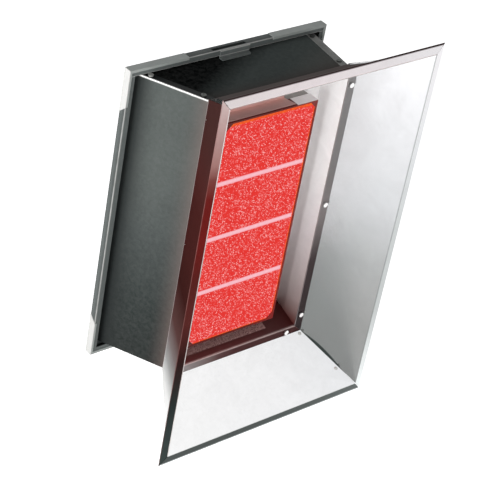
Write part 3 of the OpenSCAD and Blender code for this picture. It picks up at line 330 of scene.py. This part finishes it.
# A brighter and a darker copy of the zinc: painted light on the strip screws, painted shade on the housing
# screws.
screw_painted_light = bare_steel("Zinc of the strip screws painted bright as lit", (0.95, 0.95, 0.94), 0.25, fine_grain)
screw_painted_shade = bare_steel("Zinc on the housing screws painted dark as shade", (0.10, 0.105, 0.10), 0.42, fine_grain)
finish_nodes(screw_zinc, "hanger_nuts", "plenum_nuts")
bpy.ops.object.select_all(action="DESELECT")
flange_radius, flange_t, head_t, shank_length = 0.0036, 0.0007, 0.0012, 0.0088
bpy.ops.mesh.primitive_cylinder_add(vertices=24, radius=flange_radius, depth=flange_t,
                                    location=(0, 0, flange_t / 2))
screw = bpy.context.object
bpy.ops.object.transform_apply(location=True, rotation=False, scale=False)
for face in screw.data.polygons:
    face.select = face.normal.z > 0.9
bpy.ops.object.mode_set(mode="EDIT")
bpy.ops.mesh.select_mode(type="FACE")
bpy.ops.mesh.inset(thickness=0.0008)
bpy.ops.mesh.extrude_region_move(TRANSFORM_OT_translate={"value": (0, 0, head_t)})
bpy.ops.mesh.inset(thickness=0.0004, depth=0.00028)
bpy.ops.mesh.select_all(action="DESELECT")
bpy.ops.object.mode_set(mode="OBJECT")
for face in screw.data.polygons:
    face.select = face.normal.z < -0.9
bpy.ops.object.mode_set(mode="EDIT")
bpy.ops.mesh.inset(thickness=0.0017)
bpy.ops.mesh.extrude_region_move(TRANSFORM_OT_translate={"value": (0, 0, -shank_length)})
bpy.ops.object.mode_set(mode="OBJECT")
bpy.ops.mesh.primitive_cube_add(size=1.0, location=(0, 0, 0.0022))
slot_cutter = bpy.context.object
slot_length, slot_width, cutter_height = 0.0064, 0.0009, 0.0016
slot_cutter.scale = (slot_length, slot_width, cutter_height)
bpy.ops.object.transform_apply(location=True, rotation=False, scale=True)
cut = screw.modifiers.new("Slot", "BOOLEAN")
cut.operation = "DIFFERENCE"
cut.object = slot_cutter
bpy.context.view_layer.objects.active = screw
bpy.ops.object.modifier_apply(modifier=cut.name)
bpy.data.objects.remove(slot_cutter)
bpy.ops.mesh.primitive_uv_sphere_add(segments=20, ring_count=12, radius=0.003, location=(0, 0, 0))
rivet = bpy.context.object
rivet_flatness = 0.36
rivet.scale = (1.0, 1.0, rivet_flatness)
bpy.ops.object.transform_apply(location=False, rotation=False, scale=True)
bpy.ops.object.mode_set(mode="EDIT")
bpy.ops.mesh.select_all(action="SELECT")
bpy.ops.mesh.bisect(plane_co=(0, 0, 0), plane_no=(0, 0, 1), use_fill=True, clear_inner=True)
bpy.ops.mesh.select_all(action="SELECT")
bpy.ops.mesh.normals_make_consistent(inside=False)
bpy.ops.object.mode_set(mode="OBJECT")


def set_copies(model, stem, named, directions, finish=screw_zinc, turn_each=0.9):
    for number, (spot, facing) in enumerate(directions, 1):
        one = model.copy()
        one.data = model.data.copy()
        bpy.context.collection.objects.link(one)
        aim = Vector(facing).normalized().to_track_quat("Z", "Y").to_matrix().to_4x4()
        turned = aim @ Matrix.Rotation(turn_each * number, 4, "Z")
        one.data.transform(Matrix.Translation(Vector(spot) / 1000.0) @ turned)
        one.data.materials.clear()
        one.data.materials.append(finish)
        one.name = f"{stem}_{number}"
        bpy.context.view_layer.objects.active = one
        bpy.ops.object.select_all(action="DESELECT")
        one.select_set(True)
        bpy.ops.object.shade_smooth_by_angle(angle=math.radians(32))
        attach(one, "heater")
        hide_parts(named)


wall_spots = [((x, y, z), (0, 0, z)) for z in (230.0, -230.0)
              for x, y in ((-102.57, -86.2), (137.58, -86.2), (-139.16, -15.2), (146.28, -15.2))]
below_spots = [((x, -53.8, -229.0), down) for x in (-43.75, 79.75)]
set_copies(screw, "wall_screw", "wall_screws", wall_spots + below_spots, screw_painted_shade)
# wall_screw_3 keeps the plain zinc instead of the painted shade.
bpy.data.objects["wall_screw_3"].data.materials[0] = screw_zinc
strip_spots = ([(x, z) for x in (-106.07, 143.81) for z in (-205, 0, 205)]
               + [(x, z) for z in (231.59, -231.59) for x in (-84, 120)])
set_copies(screw, "liner_screw", "liner_screws",
           [((x, -113.5, z), (0, -1, 0)) for x, z in strip_spots], screw_painted_light)
set_copies(screw, "cover_screw", "cover_screws",
           [((x, 1.0, z), to_back) for x in (-132.5, -43.5) for z in (-171, -4)])
end_y, end_z = 0.5009, 0.8655
seam_spots = ((-107.45, -117.56, 240.63), (146.77, -117.56, 240.63), (-140.79, -179.12, 276.25),
              (177.83, -179.12, 276.25))
set_copies(rivet, "seam_rivet", "reflector_rivets",
           [((x, y, side * z), (0, -end_y, -end_z * side)) for side in (1, -1) for x, y, z in seam_spots])
bpy.data.objects.remove(screw)
bpy.data.objects.remove(rivet)


# Reflector: four flared panels of polished aluminium, nearly mirrors, with a folded lip round
# the mouth. A panel's inside, outside and lip are told apart by the planes between them, and each
# is coloured with painted reflections and shade, with painted highlight and shadow lines along the
# folds. The outside of the left and top panels, and the left panel's lip, are made matte so their
# painted colours show as they are.
def mirror_sheet(name, stretch, roughness, inside, outside, lip, face_plane, lip_plane, lines_on=(),
                 patch=None, dull_outside=False, dull_lip=False):
    material, tree, shader, place = new_finish(name, (0.9, 0.9, 0.9), 1.0, roughness)
    lines = use_group(tree, grain, place, Stretch=stretch)
    cloud = use_group(tree, marks, place, Size=0.05, Sharpness=1.5)
    fine = use_group(tree, marks, place, Size=0.008, Sharpness=1.8)
    inner_side = use_group(tree, fade, place, From=face_plane[0], Towards=face_plane[1], Reach=0.0001)
    lip_side = use_group(tree, fade, place, From=lip_plane[0], Towards=lip_plane[1], Reach=0.0002)
    # Painted reflections and shade, graded across the inside, the outside and the lip.
    inner = graded(tree, place, *inside)
    # A given patch, such as the seam_shadow, gets a painted shadow colour.
    if patch is not None:
        inner = blend_colour(tree, patch(tree, place), inner, shown_as(62, 70, 68))
    shown = blend_colour(tree, inner_side, graded(tree, place, *outside), inner)
    shown = blend_colour(tree, lip_side, shown, graded(tree, place, *lip))
    shown = blend_colour(tree, calc(tree, "MULTIPLY", cloud, 0.10), shown, (0.0, 0.0, 0.0))
    shown = blend_colour(tree, calc(tree, "MULTIPLY", fine, 0.05), shown, (0.0, 0.0, 0.0))
    # Painted highlight and shadow lines along the folds and edges.
    for *line, line_colour in lines_on:
        shown = paint_fold(tree, place, shown, *line, shown_as(*line_colour))
    if dull_outside:
        bright = inner_side if dull_lip else calc(tree, "MAXIMUM", inner_side, lip_side)
        tree.links.new(bright, shader.inputs["Metallic"])
        shader.inputs["Specular IOR Level"].default_value = 0.0
    # Seen in a reflection, a panel shows plain near-white in place of its painted colours.
    mirrored = tree.nodes.new("ShaderNodeLightPath").outputs["Is Glossy Ray"]
    shown = blend_colour(tree, mirrored, shown, (0.97, 0.97, 0.97))
    tree.links.new(shown, shader.inputs["Base Color"])
    rough = calc(tree, "ADD", calc(tree, "MULTIPLY", cloud, 0.06), roughness - 0.03)
    rough = calc(tree, "ADD", rough, calc(tree, "MULTIPLY", lines, 0.04))
    tree.links.new(rough, shader.inputs["Roughness"])
    raise_surface(tree, shader, lines, 0.05, 0.0001)
    return material


side_grain, end_grain = (300.0, 300.0, 8.0), (8.0, 300.0, 300.0)
lip_half_h, lip_left, lip_right = 0.308, -0.175, 0.211
# Colours of each panel's regions: painted reflections and shade, graded along the panel.
left_inner = (up, -0.29, 0.29, [(-0.29, (168, 172, 170)), (0.0, (196, 198, 198)), (0.29, (224, 226, 226))])
left_outer = (up, -0.30, 0.23, [
    (-0.30, (246, 246, 246)), (-0.235, (216, 216, 215)), (-0.197, (146, 146, 145)), (-0.165, (112, 102, 101)),
    (-0.127, (80, 55, 53)), (-0.06, (52, 25, 23)), (0.01, (60, 29, 27)), (0.08, (62, 29, 27)),
    (0.13, (68, 35, 33)), (0.21, (62, 38, 36))])
left_lip = (up, -lip_half_h, lip_half_h, [
    (-lip_half_h, (56, 64, 62)), (-0.247, (48, 55, 54)), (-0.197, (38, 44, 43)), (-0.113, (42, 24, 23)),
    (-0.046, (74, 34, 32)), (0.02, (72, 28, 26)), (0.09, (92, 25, 23)), (0.156, (88, 26, 24)),
    (0.186, (100, 54, 50)), (0.210, (136, 100, 96)), (0.256, (152, 124, 121)), (lip_half_h, (172, 154, 152))])
left_mirror = mirror_sheet(
    "Mirror of the left panel", side_grain, 0.14, left_inner, left_outer, left_lip,
    ((-0.10386, -0.09901, 0), (-0.8794, 0.4764, 0)), ((-0.1631, 0, 0), along_x),
    [((lip_left, -0.2054, 0), along_x, 0.0010, 0.4, (120, 84, 82)),
     ((-0.1626, 0, 0), along_x, 0.0009, 0.6, (214, 204, 202)),
     ((-0.1055, -0.1000, 0), (0.4764, 0.8794, 0), 0.0016, 0.6, (196, 188, 186))],
    dull_outside=True, dull_lip=True)
finish_nodes(left_mirror, "reflector_left")


def seam_shadow(tree, place):
    parts = tree.nodes.new("ShaderNodeSeparateXYZ")
    tree.links.new(place, parts.inputs[0])
    depth = calc(tree, "DIVIDE", calc(tree, "ADD", parts.outputs[1], 0.150), 0.037)
    rounded = calc(tree, "SUBTRACT", 1.0, calc(tree, "MULTIPLY", depth, depth))
    bulge = calc(tree, "MULTIPLY", rounded, 0.0062)
    above = calc(tree, "ADD", vec_calc(tree, "DOT_PRODUCT", place, (0, -end_y, end_z)), 0.1494)
    return calc(tree, "DIVIDE", calc(tree, "SUBTRACT", bulge, above), 0.0008, clamp=True)


right_inner = (up, -0.29, 0.29, [
    (-0.29, (142, 144, 143)), (-0.18, (146, 149, 148)), (-0.08, (160, 163, 163)), (0.02, (188, 190, 192)),
    (0.12, (197, 198, 200)), (0.29, (206, 206, 208))])
right_outer = (up, -0.30, 0.30, [(-0.30, (225, 226, 226)), (0.30, (120, 118, 116))])
right_lip = (up, -lip_half_h, lip_half_h, [
    (-lip_half_h, (226, 230, 230)), (-0.15, (176, 180, 180)), (0.0, (186, 190, 190)), (0.15, (214, 216, 218)),
    (lip_half_h, (232, 230, 232))])
right_mirror = mirror_sheet(
    "Mirror of the right panel", side_grain, 0.20, right_inner, right_outer, right_lip,
    ((0.14390, -0.09900, 0), (0.8927, 0.4505, 0)), ((0.1990, 0, 0), (-1, 0, 0)),
    [((0.1984, 0, 0), along_x, 0.0011, 0.8, (104, 110, 110)),
     ((lip_right, 0, 0), along_x, 0.0012, 0.7, (244, 246, 246))], patch=seam_shadow)
finish_nodes(right_mirror, "reflector_right")
top_inner = (along_x, -0.17, 0.20, [(-0.17, (206, 208, 208)), (0.20, (224, 225, 226))])
top_outer = ((0, -end_z, end_y), 0.20, 0.32, [
    (0.20, (112, 104, 102)), (0.274, (104, 96, 94)), (0.284, (246, 224, 220)), (0.32, (252, 232, 228))])
top_lip = (along_x, lip_left, lip_right, [
    (lip_left, (200, 192, 192)), (-0.02, (212, 203, 205)), (0.10, (214, 209, 211)),
    (lip_right, (220, 218, 220))])
top_mirror = mirror_sheet(
    "Mirror of the top panel", end_grain, 0.14, top_inner, top_outer, top_lip,
    ((0, -0.09897, 0.23039), (0, end_y, end_z)), ((0, 0, 0.29370), down),
    [((0, 0, 0.2930), up, 0.0007, 0.8, (128, 120, 121)),
     ((0, 0, lip_half_h), up, 0.0036, 2.0, (44, 30, 30))], dull_outside=True)
finish_nodes(top_mirror, "reflector_top")
bottom_inner = (along_x, -0.17, 0.20, [
    (-0.17, (255, 255, 255)), (0.05, (250, 250, 251)), (0.20, (240, 241, 243))])
bottom_outer = (up, -0.30, -0.23, [(-0.30, (230, 230, 230)), (-0.23, (150, 150, 148))])
bottom_lip = (along_x, lip_left, lip_right, [
    (lip_left, (44, 52, 50)), (-0.05, (38, 46, 44)), (0.10, (50, 58, 56)), (lip_right, (70, 77, 75))])
bottom_mirror = mirror_sheet(
    "Mirror of the bottom panel", end_grain, 0.12, bottom_inner, bottom_outer, bottom_lip,
    ((0, -0.09897, -0.23039), (0, end_y, -end_z)), ((0, 0, -0.29370), up),
    [((0, 0, -0.2932), up, 0.0009, 0.7, (150, 156, 154)),
     ((0, 0, -0.3084), up, 0.0034, 0.9, (206, 210, 210))])
finish_nodes(bottom_mirror, "reflector_bottom")


# Liners: four strips that frame the burner's opening and run back round it. They are
# aluminised steel tinted by the heat, with the burner's glow and their reflections painted into
# graded colours, darkest below the tiles, where a painted reflection of the tiles' speckle lies.
def liner_sheet(name, stretch, strip, wall, folds=(), patch=None):
    material, tree, shader, place = new_finish(name, (0.5, 0.5, 0.5), 1.0, 0.34)
    lines = use_group(tree, grain, place, Stretch=stretch)
    cloud = use_group(tree, marks, place, Size=0.03, Sharpness=1.8)
    walls = graded(tree, place, *wall)
    if patch is not None:
        walls = blend_colour(tree, patch(tree, place), walls, shown_as(190, 150, 146))
    behind = use_group(tree, fade, place, From=(0, -0.1127, 0), Towards=to_back, Reach=0.0002)
    shown = blend_colour(tree, behind, walls, graded(tree, place, *strip))
    shown = blend_colour(tree, calc(tree, "MULTIPLY", cloud, 0.16), shown, shown_as(40, 20, 18))
    # Painted highlights along the folds.
    for *line, line_colour in folds:
        shown = paint_fold(tree, place, shown, *line, shown_as(*line_colour))
    tree.links.new(shown, shader.inputs["Base Color"])
    tree.links.new(behind, shader.inputs["Metallic"])
    tree.links.new(calc(tree, "ADD", calc(tree, "MULTIPLY", lines, 0.12), 0.28), shader.inputs["Roughness"])
    raise_surface(tree, shader, lines, 0.08, 0.0001)
    return material


# Painted reflection of the tiles' speckle, in a band on the bottom liner just behind the burner.
def tile_speckle_reflection(tree, place):
    parts = tree.nodes.new("ShaderNodeSeparateXYZ")
    tree.links.new(place, parts.inputs[0])
    deep = calc(tree, "DIVIDE", calc(tree, "ADD", parts.outputs[1], 0.1025), 0.0012, clamp=True)
    aside = calc(tree, "DIVIDE", calc(tree, "SUBTRACT", 0.088, parts.outputs[0]), 0.0015, clamp=True)
    grit = use_group(tree, marks, place, Size=0.0016, Sharpness=3.0)
    return calc(tree, "MULTIPLY", calc(tree, "MULTIPLY", deep, aside), grit)


strip_y = -0.1135
# Side liners: strips darker towards the bottom, walls from brown at the bottom to near-white at the top as
# painted glow and reflection, and a painted highlight along the strip's inner fold.
side_strip = (up, -0.24, 0.24, [(-0.24, (32, 20, 22)), (-0.10, (46, 36, 38)), (-0.02, (110, 104, 104)),
                                (0.08, (110, 108, 108)), (0.24, (118, 117, 117))])
side_wall = (up, -0.22, 0.22, [(-0.22, (96, 52, 48)), (-0.18, (156, 140, 138)), (-0.05, (224, 216, 217)),
                               (0.05, (252, 250, 250)), (0.22, (255, 254, 254))])
side_liner = liner_sheet("Heat-tinted steel of the side liners with painted glow", (300.0, 300.0, 10.0), side_strip, side_wall,
                         [((0.136, strip_y, 0), (0.7071, 0.7071, 0), 0.0012, 0.6, (170, 160, 160))])
finish_nodes(side_liner, "liner_left", "liner_right")
# Bottom liner: strip lighter at the left end and dark red towards the right, dark red-brown walls, and a
# painted highlight along its fold.
end_strip = (along_x, -0.13, 0.17, [(-0.13, (152, 150, 150)), (-0.05, (116, 107, 106)), (-0.01, (76, 50, 50)),
                                    (0.02, (60, 24, 24)), (0.17, (52, 18, 18))])
end_wall = (along_x, -0.13, 0.17, [(-0.13, (76, 20, 18)), (0.17, (52, 10, 10))])
bottom_liner = liner_sheet("Browned steel of the bottom liner", (10.0, 300.0, 300.0), end_strip, end_wall,
                           [((0, strip_y, -0.224), (0, 0.7071, 0.7071), 0.0022, 0.9, (172, 154, 152))],
                           tile_speckle_reflection)
finish_nodes(bottom_liner, "liner_bottom")
top_strip = (along_x, -0.13, 0.17, [(-0.13, (120, 92, 90)), (0.17, (180, 170, 170))])
top_liner = liner_sheet("Tinted steel of the top liner", (10.0, 300.0, 300.0), top_strip, top_strip)
finish_nodes(top_liner, "liner_top")


# Bulkhead, burner casing, spreader, mixing tube and brackets: pressed aluminised steel, dull
# grey outside and browned on the parts next to the flame. The bulkhead is painted near-white and
# matte as a painted reflection, and the burner frame carries the tiles' red glow as painted light.
burner_steel = bare_steel("Aluminised steel of the burner", (0.42, 0.40, 0.38), 0.42, (40.0, 300.0, 40.0))
# The bulkhead painted near-white and matte: a painted reflection of a bright patch deep inside.
bulkhead_painted_light = bare_steel("Steel of the bulkhead painted bright as a reflection", (0.95, 0.94, 0.94), 0.30, (10.0, 300.0, 300.0),
                          metallic=0.1)
finish_nodes(bulkhead_painted_light, "bulkhead")
finish_nodes(burner_steel, "burner_plenum", "spreader_baffle", "mixing_tube", "orifice_bracket",
             "electrode_bracket")
baffle_steel = bare_steel("Browned steel of the baffle", (0.80, 0.50, 0.46), 0.30, (24.0, 300.0, 300.0),
                          metallic=0.5)
finish_nodes(baffle_steel, "top_baffle")
frame_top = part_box("burner_frame")[1].z
baffle_end = 0.059
# Painted light on the burner frame: red colours stand in for the tiles' glow, a painted highlight lies on the
# top face, and left of the baffle's end the top is painted back to red-brown.
frame_painted_glow = charcoal_paint(
    "Enamel of the burner frame with painted glow", up, -0.2, 0.2, [(-0.2, (132, 26, 22)), (0.2, (122, 46, 42))],
    (0.12, 0.05, 0.04), shades=[((0, 0, frame_top), down, 0.0006, 1.0, shown_as(255, 252, 252)),
                                ((baffle_end, 0, 0), along_x, 0.002, 1.0, shown_as(96, 36, 33))])
finish_nodes(frame_painted_glow, "burner_frame")


# Ceramic tiles: four pressed slabs of cordierite with rows of tiny burner holes, pressed into
# the face. The face glows red and sparkles pink where the flame stands.
cells, cells_in, cells_out = shade_group(
    "Chance of a cell",
    [("Place", "NodeSocketVector", None), ("Pitch", "NodeSocketVector", (0.0026, 1.0, 0.0026))],
    [("Value", "NodeSocketFloat")])
cells_chance = cells.nodes.new("ShaderNodeTexWhiteNoise")
cells_chance.noise_dimensions = "3D"
cells_place = vec_calc(cells, "DIVIDE", cells_in.outputs["Place"], cells_in.outputs["Pitch"])
cells.links.new(vec_calc(cells, "FLOOR", cells_place), cells_chance.inputs["Vector"])
cells.links.new(cells_chance.outputs["Value"], cells_out.inputs["Value"])


def glowing_tile_finish(name):
    material, tree, shader, place = new_finish(name, (0.04, 0.008, 0.006), 0.0, 0.95, 0.02)
    outer = use_group(tree, fade, place, From=(0, -0.1002, 0), Towards=to_back, Reach=0.0012)
    hot = use_group(tree, cells, place, Pitch=(0.00264, 1.0, 0.00263))
    fine = use_group(tree, cells, place, Pitch=(0.0014, 1.0, 0.0014))
    patch = use_group(tree, marks, place, Size=0.02, Sharpness=1.3)
    grit = use_group(tree, marks, place, Size=0.0020, Sharpness=3.5)
    glow = blend_colour(tree, outer, shown_as(205, 44, 42), shown_as(230, 54, 50))
    spark = calc(tree, "MULTIPLY", calc(tree, "SUBTRACT", fine, 0.81, clamp=True), 5.5, clamp=True)
    glow = blend_colour(tree, calc(tree, "MULTIPLY", spark, 0.8), glow, shown_as(255, 205, 205))
    ember = calc(tree, "MULTIPLY", calc(tree, "SUBTRACT", hot, 0.72, clamp=True), 2.4)
    glow = blend_colour(tree, calc(tree, "MULTIPLY", ember, grit), glow, shown_as(255, 158, 158))
    glow = blend_colour(tree, calc(tree, "MULTIPLY", patch, 0.18), glow, shown_as(214, 40, 40))
    for joint_z in (-0.1065, -0.0115, 0.0835):
        glow = paint_fold(tree, place, glow, (0, 0, joint_z), up, 0.0046, 2.2, shown_as(243, 184, 194))
    tree.links.new(glow, shader.inputs["Emission Color"])
    shader.inputs["Emission Strength"].default_value = 1.0
    raise_surface(tree, shader, grit, 0.4, 0.0003)
    return material


tile_glow = glowing_tile_finish("Glowing ceramic of the tiles")
tile_low, tile_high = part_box("tile_1")
tile_mid, tile_size = (tile_low + tile_high) / 2, tile_high - tile_low
holes_across, holes_up = 59, 35
plain_edge, hole_web, hole_taper, hole_depth = 0.003, 0.00055, 0.00008, 0.0025
bpy.ops.object.select_all(action="DESELECT")
bpy.ops.mesh.primitive_grid_add(x_subdivisions=holes_across, y_subdivisions=holes_up, size=1.0,
                                location=(tile_mid.x, tile_low.y, tile_mid.z),
                                rotation=(math.radians(90), 0, 0))
first_tile = bpy.context.object
first_tile.scale = (tile_size.x, tile_size.z, 1.0)
bpy.ops.object.transform_apply(location=True, rotation=True, scale=True)
for face in first_tile.data.polygons:
    face.select = (tile_low.x + plain_edge < face.center.x < tile_high.x - plain_edge
                   and tile_low.z + plain_edge < face.center.z < tile_high.z - plain_edge)
bpy.ops.object.mode_set(mode="EDIT")
bpy.ops.mesh.select_mode(type="FACE")
bpy.ops.mesh.inset(thickness=hole_web, use_individual=True)
bpy.ops.mesh.inset(thickness=hole_taper, depth=-hole_depth, use_individual=True)
bpy.ops.mesh.select_all(action="DESELECT")
bpy.ops.mesh.select_mode(type="EDGE")
bpy.ops.mesh.select_non_manifold(extend=False)
bpy.ops.mesh.extrude_edges_move(TRANSFORM_OT_translate={"value": (0, tile_size.y, 0)})
bpy.ops.mesh.edge_face_add()
bpy.ops.mesh.select_all(action="SELECT")
bpy.ops.mesh.normals_make_consistent(inside=False)
bpy.ops.object.mode_set(mode="OBJECT")
first_tile.data.materials.append(tile_glow)
tile_pieces = [first_tile]
for number in (2, 3, 4):
    tile_copy = first_tile.copy()
    tile_copy.data = first_tile.data.copy()
    bpy.context.collection.objects.link(tile_copy)
    tile_copy.data.transform(Matrix.Translation(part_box(f"tile_{number}")[0] - tile_low))
    tile_pieces.append(tile_copy)
for number, piece in enumerate(tile_pieces, 1):
    piece.name = f"ceramic_tile_{number}"
    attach(piece, "heater")
    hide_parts(f"tile_{number}")


# Joints and seal of the tiles: three lines of pale cement and a rope of ceramic fibre round
# the stack. The cement shines pale pink against the tiles, and the fibre glows orange.
def lit_fibre(name, first, second):
    material, tree, shader, place = new_finish(name, tuple(c * 0.06 for c in first), 0.0, 0.95, 0.0)
    fluff = use_group(tree, marks, place, Size=0.004, Sharpness=2.5)
    tree.links.new(blend_colour(tree, fluff, first, second), shader.inputs["Emission Color"])
    shader.inputs["Emission Strength"].default_value = 1.0
    raise_surface(tree, shader, fluff, 0.6, 0.0006)
    return material


pale_cement = lit_fibre("Pale cement of the joints", shown_as(240, 176, 186), shown_as(248, 200, 208))
finish_nodes(pale_cement, "tile_joints")
glowing_fibre = lit_fibre("Glowing fibre of the seal", shown_as(222, 54, 44), shown_as(244, 112, 40))
finish_nodes(glowing_fibre, "tile_seal")


# Gas train: a die-cast valve with a red hand knob and a moulded coil, brass fittings, a bent
# aluminium pipe to the orifice, and the passivated steel inlet with its locknut.
cast_metal = bare_steel("Die-cast metal of the valve", (0.58, 0.59, 0.60), 0.50, (250.0, 250.0, 250.0),
                        metallic=0.9)
finish_nodes(cast_metal, "valve_body")
turned_brass = bare_steel("Turned brass", (0.66, 0.46, 0.17), 0.30, (60.0, 60.0, 900.0))
finish_nodes(turned_brass, "orifice", "pipe_nut")
drawn_pipe = bare_steel("Drawn aluminium pipe", (0.74, 0.75, 0.76), 0.32, (30.0, 500.0, 500.0))
finish_nodes(drawn_pipe, "manifold_pipe")
passivated = bare_steel("Yellow passivated steel", (0.56, 0.50, 0.34), 0.38, (500.0, 500.0, 60.0))
finish_nodes(passivated, "inlet_coupling")
ground_steel = bare_steel("Ground steel", (0.56, 0.56, 0.55), 0.26, (600.0, 600.0, 40.0))
finish_nodes(ground_steel, "inlet_locknut", "plunger")


def moulded_plastic(name, colour, roughness, grain_size=0.0012):
    material, tree, shader, place = new_finish(name, colour, 0.0, roughness, 0.45)
    cloud = use_group(tree, marks, place, Size=0.02, Sharpness=1.5)
    pores = use_group(tree, marks, place, Size=grain_size, Sharpness=2.0)
    dark, light = tuple(c * 0.85 for c in colour), tuple(c * 1.15 + 0.002 for c in colour)
    tree.links.new(blend_colour(tree, cloud, dark, light), shader.inputs["Base Color"])
    rough = calc(tree, "ADD", calc(tree, "MULTIPLY", cloud, 0.12), roughness - 0.06)
    tree.links.new(rough, shader.inputs["Roughness"])
    raise_surface(tree, shader, pores, 0.2, 0.0002)
    return material


finish_nodes(moulded_plastic("Red plastic of the knob", (0.50, 0.035, 0.025), 0.34), "valve_knob")
finish_nodes(moulded_plastic("Black resin of the coil", (0.020, 0.024, 0.022), 0.45), "solenoid_coil")


# Ignition and supply: a moulded module, two porcelain-held rods, silicone leads, and the black
# terminal block and conduit bushing of the supply.
finish_nodes(moulded_plastic("Dark case of the module", (0.020, 0.026, 0.045), 0.52), "ignition_module")
finish_nodes(moulded_plastic("Glazed porcelain", (0.80, 0.78, 0.72), 0.22, 0.004), "spark_insulator",
             "sensor_insulator")
rod_alloy = bare_steel("Scaled alloy of the rods", (0.30, 0.26, 0.24), 0.5, (700.0, 60.0, 700.0))
finish_nodes(rod_alloy, "spark_electrode", "flame_sensor")
finish_nodes(moulded_plastic("Red silicone lead", (0.42, 0.030, 0.022), 0.5), "spark_lead")
finish_nodes(moulded_plastic("White silicone lead", (0.70, 0.69, 0.65), 0.5), "sensor_lead")
finish_nodes(moulded_plastic("Black wire", (0.016, 0.016, 0.017), 0.5), "valve_lead", "supply_lead")
finish_nodes(moulded_plastic("Black moulding of the fittings", (0.024, 0.024, 0.025), 0.48), "terminal_block",
             "conduit_bushing")


# Stage: a pale floor just under the reflector's lower lip, white light from all round, a large
# soft lamp on the left, and the camera at the photograph's place.
def seen_or_reflected(tree):
    ray = tree.nodes.new("ShaderNodeLightPath")
    beyond = calc(tree, "MAXIMUM", ray.outputs["Is Glossy Ray"], ray.outputs["Is Transmission Ray"])
    return calc(tree, "MAXIMUM", ray.outputs["Is Camera Ray"], beyond)


floor_z = -0.3095
bpy.ops.object.select_all(action="DESELECT")
bpy.ops.mesh.primitive_plane_add(size=12.0, location=(0, 0, floor_z))
floor = bpy.context.object
floor.name = "floor"
floor_white = bpy.data.materials.new("Pale floor")
floor_white.use_nodes = True
floor_tree = floor_white.node_tree
floor_out = floor_tree.nodes["Material Output"]
floor_tree.nodes.remove(floor_tree.nodes["Principled BSDF"])
floor_matt = floor_tree.nodes.new("ShaderNodeBsdfDiffuse")
floor_matt.inputs["Color"].default_value = (0.8, 0.8, 0.8, 1.0)
floor_bright = floor_tree.nodes.new("ShaderNodeEmission")
floor_bright.inputs["Strength"].default_value = 0.72
floor_both = floor_tree.nodes.new("ShaderNodeAddShader")
floor_tree.links.new(floor_matt.outputs[0], floor_both.inputs[0])
floor_tree.links.new(floor_bright.outputs[0], floor_both.inputs[1])
floor_mix = floor_tree.nodes.new("ShaderNodeMixShader")
floor_tree.links.new(seen_or_reflected(floor_tree), floor_mix.inputs[0])
floor_tree.links.new(floor_matt.outputs[0], floor_mix.inputs[1])
floor_tree.links.new(floor_both.outputs[0], floor_mix.inputs[2])
floor_tree.links.new(floor_mix.outputs[0], floor_out.inputs["Surface"])
floor.data.materials.append(floor_white)

world = bpy.data.worlds.new("White room")
bpy.context.scene.world = world
world.use_nodes = True
world_tree = world.node_tree
world_seen = world_tree.nodes["Background"]
world_seen.inputs["Color"].default_value = (1.0, 1.0, 1.0, 1.0)
world_seen.inputs["Strength"].default_value = 1.0
world_light = world_tree.nodes.new("ShaderNodeBackground")
world_light.inputs["Color"].default_value = (1.0, 1.0, 1.0, 1.0)
world_light.inputs["Strength"].default_value = 0.40
world_mix = world_tree.nodes.new("ShaderNodeMixShader")
world_tree.links.new(seen_or_reflected(world_tree), world_mix.inputs[0])
world_tree.links.new(world_light.outputs[0], world_mix.inputs[1])
world_tree.links.new(world_seen.outputs[0], world_mix.inputs[2])
world_tree.links.new(world_mix.outputs[0], world_tree.nodes["World Output"].inputs["Surface"])


def soft_lamp(name, place, target, size, power):
    lamp = bpy.data.lights.new(name, "AREA")
    lamp.shape = "DISK"
    lamp.size = size
    lamp.energy = power
    holder = bpy.data.objects.new(name, lamp)
    bpy.context.collection.objects.link(holder)
    holder.location = place
    holder.rotation_euler = (Vector(target) - Vector(place)).to_track_quat("-Z", "Y").to_euler()
    holder.visible_glossy = False


lit_spot = (0, -0.1, 0)
soft_lamp("lamp_left", (-2.6, -0.9, 0.5), lit_spot, 1.6, 98.0)
soft_lamp("lamp_front", (-1.0, -2.7, 1.1), lit_spot, 1.0, 34.0)

lens = bpy.data.cameras.new("camera")
camera = bpy.data.objects.new("camera", lens)
bpy.context.collection.objects.link(camera)
lens.sensor_fit = "HORIZONTAL"
lens.sensor_width = 36.0
focal_px, picture_px = 1859.07, 492.0
lens.lens = focal_px * lens.sensor_width / picture_px
lens.clip_start = 0.05
lens.clip_end = 50.0
view_right = Vector((0.78013281, -0.60543525, 0.15761012))
view_down = Vector((-0.25008314, -0.5327171, -0.80849917))
view_ahead = Vector((0.57345551, 0.5913211, -0.56699924))
camera_turn = Matrix((view_right, -view_down, -view_ahead)).transposed().to_4x4()
camera.matrix_world = Matrix.Translation((-1.52953, -1.69264, 1.48076)) @ camera_turn
bpy.context.scene.camera = camera
bpy.context.scene.view_settings.view_transform = "Standard"
